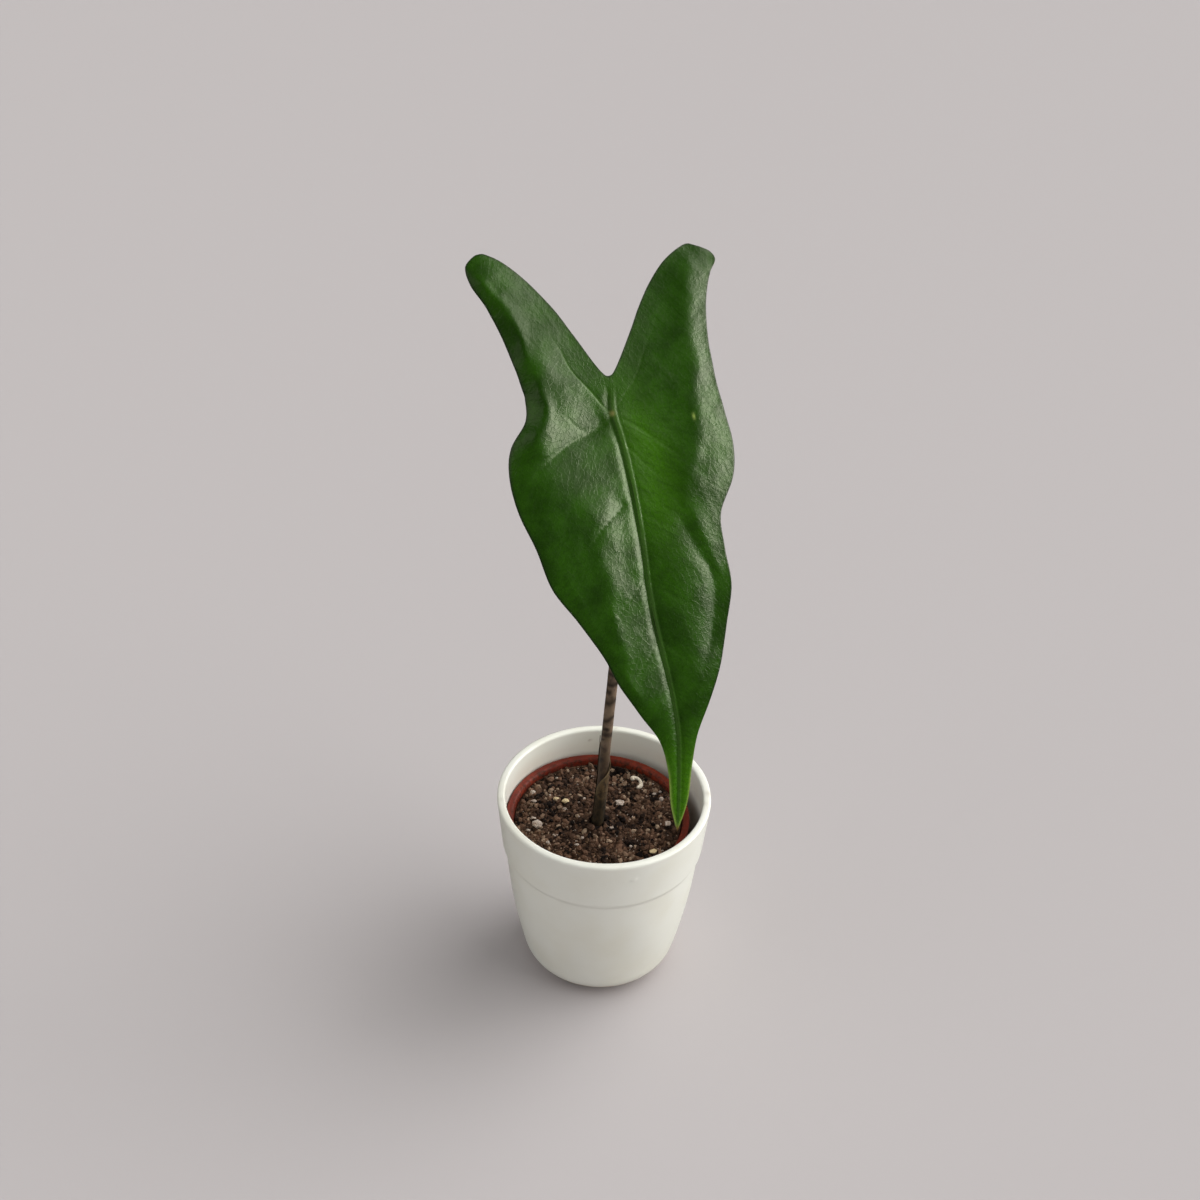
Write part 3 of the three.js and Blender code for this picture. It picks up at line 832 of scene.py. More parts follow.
@dataclass
class CoverPot:
    """The glazed pot: a straight upper band over a tapered body with a rounded foot."""

    height: float = 137.0
    rim_radius: float = 69.0
    lip_inner_radius: float = 63.8
    lip_corner: float = 1.1
    band_foot: float = 100.0
    band_foot_radius: float = 65.7
    body_top_radius: float = 63.7
    body_foot_radius: float = 47.6
    body_swell: float = 2.5
    foot_corner: float = 20.0
    floor: float = 8.0
    wall: float = 4.0
    inner_corner: float = 12.0
    step_reach: float = 3.5
    step_drop: float = 1.7
    step_rounding: float = 1.5
    inner_step: float = 7.0
    rings: int = 300
    sides: int = 256
    waver: float = 0.22
    waver_size: float = 46.0
    painted_shade_depth: float = 16.0
    drip: Spot = Spot((19.9, -64.9, 124.5), 1.3, 0.75)
    dents: tuple[Spot, ...] = (
        Spot((-38.0, -50.0, 118.0), 9.0, -0.25),
        Spot((30.0, -50.0, 60.0), 14.0, 0.3),
    )
    smudges: tuple[Spot, ...] = (
        Spot((-10.5, 63.1, 128.2), 1.0, 0.8),
        Spot((66.8, 3.2, 136.8), 2.4, 0.45),
        Spot((64.6, -6.5, 136.6), 2.0, 0.30),
        Spot((68.2, -12.0, 129.0), 3.4, 0.22),
        Spot((66.5, -20.0, 125.0), 2.2, 0.20),
        Spot((6.0, 65.5, 136.9), 1.6, 0.35),
        Spot((-66.0, -9.0, 136.9), 1.4, 0.30),
        Spot((12.0, -66.2, 136.5), 0.8, 0.35),
    )

    def side(self, height: Array) -> Array:
        """Radius of the body: straight from foot to step, plus 4 s (1 - s) times the swell."""
        share = height / self.band_foot
        straight = self.body_foot_radius + (self.body_top_radius - self.body_foot_radius) * share
        return straight + self.body_swell * 4 * share * (1 - share)

    def profile(self) -> Array:
        """Outline from the middle of the underside, up the outside, over the lip and down to the floor
        inside. The arcs of the lower corners end where they run into the lean of the side line."""
        stretch = 2.0
        lean = math.atan((self.side(self.foot_corner) - self.side(self.foot_corner - stretch)) / stretch)
        turn = math.degrees(lean)
        join = self.foot_corner * (1 - math.sin(lean))
        foot = self.side(join) - self.foot_corner * math.cos(lean)
        inner_centre = self.floor + self.inner_corner
        inner_join = inner_centre - self.inner_corner * math.sin(lean)
        inner_foot = self.side(inner_join) - self.wall - self.inner_corner * math.cos(lean)
        lip_foot = self.height - self.lip_corner
        step_foot = self.band_foot - self.step_reach
        inner_step = self.band_foot - self.inner_step
        body = np.linspace(join, step_foot, 24)
        hollow = np.linspace(inner_step + 1, inner_join, 20)
        step = rounded([
            (self.side(step_foot), step_foot, 0),
            (self.body_top_radius, self.band_foot - self.step_drop, self.step_rounding),
            (self.band_foot_radius - 0.1, self.band_foot - 0.1, self.step_rounding),
            (self.band_foot_radius + 0.2, self.band_foot + self.step_reach, 0),
        ])
        inside = rounded([
            (self.lip_inner_radius, lip_foot, 0),
            (self.lip_inner_radius - 0.2, self.band_foot + 10, 8),
            (self.lip_inner_radius - 3.6, self.band_foot - 2, 5),
            (self.side(inner_step) - self.wall, inner_step, 0),
        ])
        outline = np.concatenate([
            [[0, 0]],
            arc(foot, self.foot_corner, self.foot_corner, -90, -turn, 24),
            joined(self.side(body), body)[1:-1],
            step,
            arc(self.rim_radius - self.lip_corner, lip_foot, self.lip_corner, 4, 90, 12),
            arc(self.lip_inner_radius + self.lip_corner, lip_foot, self.lip_corner, 90, 180, 12),
            inside[1:-1],
            joined(self.side(hollow) - self.wall, hollow)[1:-1],
            arc(inner_foot, inner_centre, self.inner_corner, -turn, -90, 16),
            [[0, self.floor]],
        ])
        return evenly(outline, self.rings)

    def build(self) -> bpy.types.Object:
        """The pot as one closed turned shell. Its walls waver by low noise and have shallow dents, and a drip
        stands proud of the band."""
        grid = turned(self.profile(), full_turn(self.sides))
        normal = outward(grid)
        normal[:, [0, -1]] = ((normal[:, 0] + normal[:, -1]) / 2)[:, None]
        upright = ramp(grid[..., 2], 6, 30)
        push = self.waver * layered_noise(grid, self.waver_size, 2, SEED) * upright
        push += self.drip.mask(grid)
        push += sum(dent.mask(grid) for dent in self.dents)
        grid = grid + normal * push[..., None] * upright[..., None]
        smudge = np.clip(sum(spot.mask(grid) for spot in self.smudges), 0, 1)
        # inside: the inner wall, where shade and reflected light are painted, more strongly deeper below the
        # lip
        radius = np.linalg.norm(grid[..., :2], axis=-1)
        hollow = np.minimum(self.lip_inner_radius + 0.4, self.side(grid[..., 2]) - 0.6) - radius
        below_lip = self.height - grid[..., 2]
        inside = ramp(hollow, 0, 0.8) * ramp(below_lip, 1, self.painted_shade_depth)
        shell = Surface()
        shell.add_grid(grid, smudge=smudge, inside=inside)
        return shell.placed("cover_pot_glazed", GlazeFinish().material(), "glazed_white", "cover_pot")


@dataclass
class GrowPot:
    """The thin moulded pot inside: a flat beaded lip, a slanting wall and a lifted floor with drain holes."""

    centre: Point = (-3.5, 0.0)
    foot: float = 8.3
    rim_top: float = 119.0
    rim_radius: float = 59.6
    lip_width: float = 4.6
    lip_depth: float = 6.0
    foot_radius: float = 33.5
    shoulder_radius: float = 56.2
    wall: float = 1.2
    foot_ring: float = 3.0
    drain_holes: int = 8
    drain_radius: float = 4.0
    drain_circle: float = 23.5
    ring_half_width: float = 5.6
    outline_points: int = 240
    steps: int = 16

    def wall_radius(self, height: float) -> float:
        """Outside radius of the slanting wall."""
        share = (height - self.foot) / (self.rim_top - self.lip_depth - self.foot)
        return self.foot_radius + (self.shoulder_radius - self.foot_radius) * share

    def tangents(self) -> Array:
        """The tangent of t for t from -45 to 45 degrees."""
        return np.tan(np.linspace(-np.pi / 4, np.pi / 4, 2 * self.steps + 1))

    def sector_offsets(self) -> Array:
        """Angles across one hole's sector: half of it times each tangent."""
        return np.pi / self.drain_holes * self.tangents()

    def angles(self) -> Array:
        """Angles all the way round, sector by sector, with the first repeated at the end."""
        turns = 2 * np.pi * np.arange(self.drain_holes) / self.drain_holes
        every = (turns[:, None] + self.sector_offsets()[None, :-1]).ravel()
        return np.append(every, every[0])

    def profile(self) -> Array:
        """Outline of all but the pierced floor: from the floor's edge below, over the lip, to that above."""
        under = self.foot + self.foot_ring
        top = under + self.wall
        edge = self.drain_circle + self.ring_half_width
        lip_foot = self.rim_top - self.lip_depth
        lip_inner = self.rim_radius - self.lip_width
        outline = rounded([
            (edge, under, 0),
            (self.foot_radius - 2.6, under, 0.4),
            (self.foot_radius - 2.2, self.foot, 0.3),
            (self.foot_radius, self.foot, 0.5),
            (self.wall_radius(lip_foot), lip_foot, 0.6),
            (self.rim_radius - 0.3, lip_foot, 0.3),
            (self.rim_radius, self.rim_top - 0.1, 0.6),
            (self.rim_radius - 1.3, self.rim_top - 0.1, 0.4),
            (self.rim_radius - 1.7, self.rim_top - 0.8, 0.3),
            (lip_inner + 1.1, self.rim_top - 0.5, 0.5),
            (lip_inner + 0.2, self.rim_top - 1.6, 0.7),
            (self.wall_radius(lip_foot) - self.wall - 0.6, lip_foot - 1, 1.2),
            (self.wall_radius(top) - self.wall, top, 0.8),
            (edge, top, 0),
        ])
        return evenly(outline, self.outline_points)

    def pierced_sheet(self, height: float) -> list[Array]:
        """Grids of the floor at one height: for each hole the grid that runs from the circle round it to the
        border of its sector, and the disc inside all the holes' sectors."""
        offsets = self.sector_offsets()
        inner = self.drain_circle - self.ring_half_width
        outer = self.drain_circle + self.ring_half_width
        side = self.ring_half_width * self.tangents()
        along = np.ones(2 * self.steps)
        radii = np.concatenate([
            along * outer, (self.drain_circle - side)[:-1], along * inner, (self.drain_circle + side)[:-1],
        ])
        half = offsets[-1]
        angles = np.concatenate([offsets[:-1], along * half, -offsets[:-1], along * -half])
        radii = np.append(radii, radii[0])
        angles = np.append(angles, angles[0])
        around = np.radians(np.linspace(-45, 315, len(radii)))
        share = np.linspace(0, 1, 9)[:, None, None]
        grids = []
        for number in range(self.drain_holes):
            turn = 2 * np.pi * number / self.drain_holes
            border = joined(radii * np.cos(angles + turn), radii * np.sin(angles + turn))
            middle = self.drain_circle * np.array([np.cos(turn), np.sin(turn)])
            circle = middle + self.drain_radius * joined(np.cos(around + turn), np.sin(around + turn))
            grids.append(raised(between(circle, border, share), height))
        disc = joined(np.linspace(0, inner, 12), height)
        grids.append(turned(disc, self.angles()))
        return [grid + np.array([*self.centre, 0]) for grid in grids]

    def build(self) -> bpy.types.Object:
        """The pot as one closed shell: turned wall and lip, two floor sheets and the walls of the holes."""
        shell = Surface()
        grid = turned(self.profile(), self.angles(), self.centre)
        radius = np.linalg.norm(grid[..., :2] - np.array(self.centre), axis=-1)
        # the inner wall near the top is dusty and darkened by painted shade
        inside = ramp(-radius, -self.rim_radius + 0.6, -self.rim_radius + 4.5)
        dust = np.clip(0.08 + 0.8 * inside, 0, 1) * ramp(grid[..., 2], 60, 112)
        shell.add_grid(grid, dust=dust)
        under = self.foot + self.foot_ring
        lower = self.pierced_sheet(under)
        upper = self.pierced_sheet(under + self.wall)
        for sheet_below, sheet_above in zip(lower[:-1], upper[:-1]):
            shell.add_grid(sheet_below, flip=True, dust=0.3)
            shell.add_grid(sheet_above, dust=0.8)
            shell.add_grid(np.stack([sheet_below[0], sheet_above[0]]), flip=True, dust=0.5)
        shell.add_grid(lower[-1], dust=0.3)
        shell.add_grid(upper[-1], flip=True, dust=0.8)
        finish = PlasticFinish().material()
        return shell.placed("nursery_pot_moulded", finish, "terracotta_plastic", "nursery_pot")


# The soil and what lies on it


def icosahedron() -> tuple[Array, Array]:
    """Corners and outward triangles of a regular icosahedron of radius 1."""
    golden = (1 + math.sqrt(5)) / 2
    corners = np.array([
        (-1, golden, 0), (1, golden, 0), (-1, -golden, 0), (1, -golden, 0),
        (0, -1, golden), (0, 1, golden), (0, -1, -golden), (0, 1, -golden),
        (golden, 0, -1), (golden, 0, 1), (-golden, 0, -1), (-golden, 0, 1),
    ])
    triangles = np.array([
        (0, 11, 5), (0, 5, 1), (0, 1, 7), (0, 7, 10), (0, 10, 11), (1, 5, 9), (5, 11, 4), (11, 10, 2),
        (10, 7, 6), (7, 1, 8), (3, 9, 4), (3, 4, 2), (3, 2, 6), (3, 6, 8), (3, 8, 9), (4, 9, 5),
        (2, 4, 11), (6, 2, 10), (8, 6, 7), (9, 8, 1),
    ])
    return corners / np.linalg.norm(corners[0]), triangles


def turns(count: int, draw: np.random.Generator) -> Array:
    """Random turning matrices, from unit quaternions drawn evenly."""
    quaternions = draw.normal(size=(4, count))
    w, x, y, z = quaternions / np.linalg.norm(quaternions, axis=0)
    rows = [
        [1 - 2 * (y * y + z * z), 2 * (x * y - z * w), 2 * (x * z + y * w)],
        [2 * (x * y + z * w), 1 - 2 * (x * x + z * z), 2 * (y * z - x * w)],
        [2 * (x * z - y * w), 2 * (y * z + x * w), 1 - 2 * (x * x + y * y)],
    ]
    return np.moveaxis(np.array(rows), -1, 0)


@dataclass
class PottingMix:
    """The soil in the grow pot: its body, the crumbs and specks that lie on it, and fine fibres."""

    centre: Point = (-3.5, 0.0)
    edge_height: float = 114.2
    crown: float = 1.8
    edge_radius: float = 54.1
    foot_height: float = 12.8
    foot_radius: float = 32.1
    stalk_foot: Point = (-4.0, -7.2)
    mound: Spot = Spot((-4.0, -7.2, 0.0), 10.0, 5.5)
    pocket_radius: float = 5.3
    clod_size: float = 4.2
    small_size: float = 1.5
    clod_seed: int = SEED + 3
    small_seed: int = SEED + 5
    damp_size: float = 8.0
    rings: int = 120
    sides: int = 380
    crumbs: int = 5000
    specks: int = 190
    fibres: int = 90
    hollows: tuple[Spot, ...] = (
        Spot((8.0, 40.0, 0.0), 8.0, -2.4),
        Spot((-50.0, 4.0, 0.0), 9.0, -1.2),
        Spot((-30.0, 4.0, 0.0), 7.0, -0.8),
        Spot((34.0, 30.0, 0.0), 7.0, -1.0),
        Spot((2.0, -13.0, 0.0), 5.0, -0.9),
        Spot((-25.0, -38.0, 0.0), 9.0, -0.8),
    )

    def plain_top(self, places: Array) -> Array:
        """Height of the level surface: edge height + crown (1 - (r / edge radius)^2)."""
        reach = np.linalg.norm(places - np.array(self.centre), axis=-1) / self.edge_radius
        return self.edge_height + self.crown * (1 - reach**2)

    def top(self, places: Array) -> Array:
        """Height of the rough surface: the level one, sunk at the hollows and heaped up round the stalk, with
        noise and rounded clods on it."""
        flat = raised(places, 0)
        sunk = sum(hollow.mask(flat) for hollow in self.hollows) + self.mound.mask(flat)
        clods, gaps, _ = nearest_seeds(places, self.clod_size, self.clod_seed)
        small, _, _ = nearest_seeds(places, self.small_size, self.small_seed)
        rough = 0.9 * layered_noise(places, 9, 3, SEED) + 2.0 * (0.5 - clods) + 0.6 * (0.5 - small)
        reach = np.linalg.norm(places - np.array(self.centre), axis=-1)
        calm = 1 - 0.75 * ramp(reach, self.edge_radius - 3, self.edge_radius)
        return self.plain_top(places) + (sunk + rough * np.minimum(1, 0.4 + gaps)) * calm

    def scatter(self, count: int, draw: np.random.Generator, clear: float) -> Array:
        """Random places on the surface, even by area, that stay clear of the stalk's foot."""
        radius = (self.edge_radius - 0.8) * np.sqrt(draw.random(3 * count))
        angle = 2 * np.pi * draw.random(3 * count)
        places = joined(radius * np.cos(angle), radius * np.sin(angle)) + np.array(self.centre)
        away = np.linalg.norm(places - np.array(self.stalk_foot), axis=-1) > clear
        return places[away][:count]

    def body(self) -> bpy.types.Object:
        """The body: the rough top round the stalk's pocket, the slanting side and the flat underside."""
        angles = full_turn(self.sides)
        direction = joined(np.cos(angles), np.sin(angles))
        rim = np.array(self.centre) + self.edge_radius * direction
        mouth = np.array(self.stalk_foot) + self.pocket_radius * direction
        places = between(rim, mouth, np.linspace(0, 1, self.rings)[:, None, None])
        top = raised(places, self.top(places))
        side = raised(np.array(self.centre) + self.foot_radius * direction, self.foot_height)
        wall = between(side, top[0], np.linspace(0, 1, 40)[:, None, None])
        middle = np.broadcast_to([*self.centre, self.foot_height], side.shape)
        shell = Surface()
        shell.add_grid(np.stack([middle, side]), tone=0.35)
        shell.add_grid(wall, tone=0.4 + 0.25 * layered_noise(wall, 6, 3, SEED))
        shell.add_grid(top, tone=self.tones(top))
        shell.add_grid(self.pocket(top[-1], angles), tone=0.3)
        return shell.placed("soil_body", MixFinish().material(), "potting_mix", "soil")

    def pocket(self, mouth: Array, angles: Array) -> Array:
        """The hole for the corm: the corm's outline grown by the clearance, from the surface to its foot."""
        corm = Corm()
        outline = corm.outline(corm.clearance)[::-1]
        outline = outline[outline[:, 1] < corm.top - 1.5]
        lower = turned(outline, angles, self.stalk_foot)
        return np.concatenate([mouth[None], lower])

    def tones(self, points: Array) -> Array:
        """How pale the mix is at each point: clods of their own tone, with painted shade where the surface
        dips and in the narrow gaps between clods.
        """
        _, gaps, value = nearest_seeds(points[..., :2], self.clod_size, self.clod_seed)
        _, _, small = nearest_seeds(points[..., :2], self.small_size, self.small_seed)
        # painted shade: darker where the surface dips and in the narrow gaps between clods
        dip_shade = points[..., 2] - self.plain_top(points[..., :2])
        dip_shade = dip_shade - self.mound.mask(points * np.array([1, 1, 0]))
        return np.clip(0.15 + 0.5 * value * small + 0.16 * gaps + 0.2 * dip_shade + self.damp(points), 0, 1)

    def damp(self, points: Array) -> Array:
        """Change of tone between damp and dry patches, a few crumbs across."""
        return 0.22 * layered_noise(points[..., :2], self.damp_size, 2, SEED + 31)

    def lumps(
        self, count: int, sizes: Array, sink: float, draw: np.random.Generator, clear: float, spread: Point
    ) -> tuple[Array, Array]:
        """Corners and triangles of angular lumps, partly sunk in the surface.

        Args:
            count: how many.
            sizes: radius of each.
            sink: how deep a lump's middle lies under its own radius, as a share of it.
            draw: the random numbers.
            clear: distance kept from the stalk.
            spread: lowest and highest stretch of an axis.

        Returns:
            Points by lump and corner, and the triangles' corner numbers.
        """
        corners, triangles = icosahedron()
        places = self.scatter(count, draw, clear)
        stretch = draw.uniform(*spread, size=(count, 1, 3))
        jagged = corners[None] * draw.uniform(0.72, 1.18, size=(count, len(corners), 1)) * stretch
        lumps = np.einsum("nij,nkj->nki", turns(count, draw), jagged) * sizes[:, None, None]
        height = self.top(places) + sizes * (1 - sink) * 0.7
        lumps += raised(places, height)[:, None]
        every = triangles[None] + len(corners) * np.arange(count)[:, None, None]
        return lumps, every.reshape(-1, 3)

    def crumb_layer(self) -> bpy.types.Object:
        """Thousands of small crumbs of peat and bark in their own tones."""
        draw = np.random.default_rng(SEED)
        sizes = 0.34 + 1.9 * draw.random(self.crumbs) ** 4
        lumps, triangles = self.lumps(self.crumbs, sizes, 0.75, draw, 5.0, (0.5, 1.5))
        patch = 1.4 * self.damp(lumps.mean(1))
        tone = np.clip(draw.normal(0.44, 0.24, self.crumbs) + patch, 0.02, 0.95)
        pale = draw.random(self.crumbs) < 0.04
        tone = np.where(pale, draw.uniform(0.85, 1.0, self.crumbs), tone)
        crumbs = Surface()
        crumbs.add(lumps, triangles, tone=tone[:, None])
        finish = MixFinish("potting_crumbs").material()
        return crumbs.placed("soil_crumbs", finish, "potting_mix", smooth=False)

    def speck_layer(self) -> bpy.types.Object:
        """Small pale bits of perlite among the crumbs."""
        draw = np.random.default_rng(SEED + 1)
        sizes = 0.28 + 0.62 * draw.random(self.specks) ** 2.2
        lumps, triangles = self.lumps(self.specks, sizes, 0.35, draw, 6.2, (0.7, 1.25))
        specks = Surface()
        specks.add(lumps, triangles)
        return specks.placed("perlite_specks", PerliteFinish("perlite_fine").material(), "perlite_white")

    def fibre_layer(self) -> bpy.types.Object:
        """Fine curved fibres of peat moss and bark that lie across the crumbs, each a thin four-sided rod."""
        draw = np.random.default_rng(SEED + 2)
        places = self.scatter(self.fibres, draw, 8.0)
        length = draw.uniform(2.5, 7.5, self.fibres)
        heading = 2 * np.pi * draw.random(self.fibres)
        bend = draw.uniform(-0.5, 0.5, self.fibres)
        share = np.linspace(-0.5, 0.5, 7)
        angle = heading[:, None] + bend[:, None] * share * 2
        step = joined(np.cos(angle), np.sin(angle)) * (length[:, None, None] * share[:, None])
        line = places[:, None] + step
        reach = np.linalg.norm(line - np.array(self.centre), axis=-1, keepdims=True)
        line = np.array(self.centre) + (line - self.centre) * np.minimum(1, (self.edge_radius - 1.5) / reach)
        lift = 0.75 + 0.5 * np.cos(2 * np.pi * share)[None] * draw.uniform(0, 0.6, self.fibres)[:, None]
        height = self.plain_top(line) + lift
        fibres = Surface()
        for number in range(self.fibres):
            centres = raised(line[number], height[number])
            thickness = draw.uniform(0.10, 0.24) * np.sin(np.pi * (share * 0.86 + 0.5))
            rod = tube(centres, thickness, 4, Vector((0, 0, 1)))
            first, last = closing_ends(rod, centres)
            fibres.add_grid(np.concatenate([first[None], rod, last[None]]))
        finish = WoodFinish("moss_fibre", paint(128, 96, 66), paint(62, 42, 30))
        return fibres.placed("soil_fibres", finish.material(), "potting_mix")

    def build(self) -> list[bpy.types.Object]:
        """The body and its three layers."""
        return [self.body(), self.crumb_layer(), self.speck_layer(), self.fibre_layer()]


@dataclass
class Corm:
    """The rootstock under the stalk, out of sight in the soil."""

    centre: Point = (-4.0, -7.2)
    top: float = 112.0
    radius: float = 11.0
    height: float = 24.0
    neck_radius: float = 6.0
    clearance: float = 0.4
    scars: int = 7
    scar_depth: float = 0.45
    scar_width: float = 0.09
    rings: int = 160
    sides: int = 96

    def outline(self, grown: float = 0.0) -> Array:
        """Outline from the foot up to the neck: an ellipse's side, then the straight neck."""
        middle = self.top - self.height / 2
        angle = np.radians(np.linspace(-90, 25, 40))
        half_height = self.height / 2 + grown
        ellipse = joined((self.radius + grown) * np.cos(angle), middle + half_height * np.sin(angle))
        neck = rounded([
            (*ellipse[-1], 0),
            (self.neck_radius + grown, self.top - 3, 1.5),
            (self.neck_radius + grown, self.top - 0.8, 0),
        ])
        return np.concatenate([ellipse, neck[1:]])

    def build(self) -> bpy.types.Object:
        """The corm with ring scars: narrow notches at even steps of its height, strayed by noise."""
        outline = np.concatenate([self.outline(), [[self.neck_radius - 0.6, self.top], [0, self.top]]])
        outline = evenly(outline, self.rings)
        grid = turned(outline, full_turn(self.sides), self.centre)
        phase = (grid[..., 2] - self.top + self.height) / self.height * self.scars
        phase = phase + 0.25 * noise(grid, 8, SEED)
        notch = bell(phase - np.round(phase), self.scar_width)
        fade = ramp(outline[:, 0], 1, 5)[:, None] * ramp(self.top - outline[:, 1], 1, 4)[:, None]
        inward = self.scar_depth * notch * fade
        away = grid[..., :2] - np.array(self.centre)
        length = np.maximum(np.linalg.norm(away, axis=-1, keepdims=True), 1e-6)
        grid[..., :2] -= away / length * inward[..., None]
        shell = Surface()
        shell.add_grid(grid)
        return shell.placed("corm_ringed", CormFinish().material(), "corm_skin", "corm")


@dataclass
class Toppings:
    """The pale grains, wood chips and the curled shaving that lie on the soil."""

    lump_rings: int = 25
    lump_sides: int = 36
    lump_cell: float = 0.62
    shaving_rings: int = 70
    shaving_sides: int = 24
    shaving_radius: float = 1.2
    shaving_path: tuple[Point, ...] = (
        (18.0, 37.6), (19.8, 39.6), (22.6, 38.8), (24.4, 35.2), (24.2, 31.4), (21.8, 29.0),
    )
    shaving_lift: float = 1.65

    def lump(self, node: str, crag: float, seed: int) -> Array:
        """Grid of a craggy lump that fills a node's box: a ball whose radius strays by noise and by a cell
        pattern, stretched so that its extremes touch the box.

        Args:
            node: the CAD node that it stands for.
            crag: how strong the cell pattern is.
            seed: picks the lump's shape.

        Returns:
            Points by latitude and longitude.
        """
        low, high = (np.array(corner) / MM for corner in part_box(node))
        polar = np.linspace(-np.pi / 2, np.pi / 2, self.lump_rings)[:, None]
        angle = full_turn(self.lump_sides)[None]
        ball = joined(np.cos(polar) * np.cos(angle), np.cos(polar) * np.sin(angle), np.sin(polar))
        _, gap, value = nearest_seeds(ball, self.lump_cell, seed)
        radius = 1 + 0.18 * layered_noise(ball, 0.9, 3, seed) + crag * (value - 0.5) * ramp(gap, 0, 0.14)
        ball = ball * radius[..., None]
        ball[[0, -1]] = ball[[0, -1]].mean(1, keepdims=True)
        size = ball.max((0, 1)) - ball.min((0, 1))
        return low + (ball - ball.min((0, 1))) / size * (high - low)

    def grains(self, prefix: str, label: str, crag: float, finish: Any, slot: str) -> list[bpy.types.Object]:
        """One lump for each node whose name starts with a prefix."""
        material = finish.material()
        made = []
        for number, node in enumerate(sorted(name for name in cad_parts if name.startswith(prefix))):
            shell = Surface()
            shell.add_grid(self.lump(node, crag, SEED + 11 * number))
            made.append(shell.placed(f"{label}_{number + 1:02d}", material, slot, node))
        return made

    def shaving(self, soil: PottingMix) -> bpy.types.Object:
        """The curled shaving: a knobbly tube along its path, with both ends drawn in."""
        share = np.linspace(0, 1, self.shaving_rings)
        line = spline(self.shaving_path, share, straight_ends=True)
        centres = raised(line, soil.plain_top(line) + self.shaving_lift)
        share = share[:, None]
        angle = full_turn(self.shaving_sides)[None]
        ends = np.clip(1 - (2 * share - 1) ** 12, 0, 1) ** 0.5
        knots = 1 + 0.16 * np.sin(9 * share + 0.6) + 0.20 * bell(share - 0.08, 0.1)
        bumps = layered_noise(joined(np.cos(angle), np.sin(angle), 14 * share), 1.1, 2, SEED)
        radii = self.shaving_radius * ends * knots * (1 + 0.12 * bumps)
        shell = Surface()
        shell.add_grid(tube(centres, radii, self.shaving_sides, Vector((0, 0, 1))))
        finish = WoodFinish("shaving_pale", paint(228, 220, 204), paint(186, 166, 138), (1.0, 1.0, 1.0))
        return shell.placed("curled_shaving_pale", finish.material(), "pale_wood", "curled_shaving")

    def build(self, soil: PottingMix) -> list[bpy.types.Object]:
        """All the grains, the chips and the shaving."""
        chips = WoodFinish("pale_wood", paint(222, 204, 164), paint(168, 142, 100))
        return [
            *self.grains("perlite_", "perlite_grain", 0.55, PerliteFinish(), "perlite_white"),
            *self.grains("wood_chip_", "bark_chip", 0.16, chips, "pale_wood"),
            self.shaving(soil),
        ]


# The leaf


class Half(Enum):
    """Half of the blade, seen from the front, as the sign of its distance from the midrib."""

    LEFT = -1
    RIGHT = 1


@dataclass(frozen=True)
class Vein:
    """A line of the blade: its path in blade places, the half width and depth of its groove, the depth and
    reach of the fold that the blade makes along it (a ridge when below 0), how pale it shows, and the share
    of its length at which it starts to weaken."""

    path: tuple[Point, ...]
    width: float = 0.8
    depth: float = 0.3
    fold: float = 0.3
    reach: float = 5.0
    show: float = 0.1
    lasting: float = 0.35

    @staticmethod
    def fading(part: Array, lasting: float) -> Array:
        """Strength along a line: it sets in over the first eighth and, from that share on, dies out."""
        return ramp(part, -0.02, 0.12) * (1 - ramp(part, lasting, 1.04))


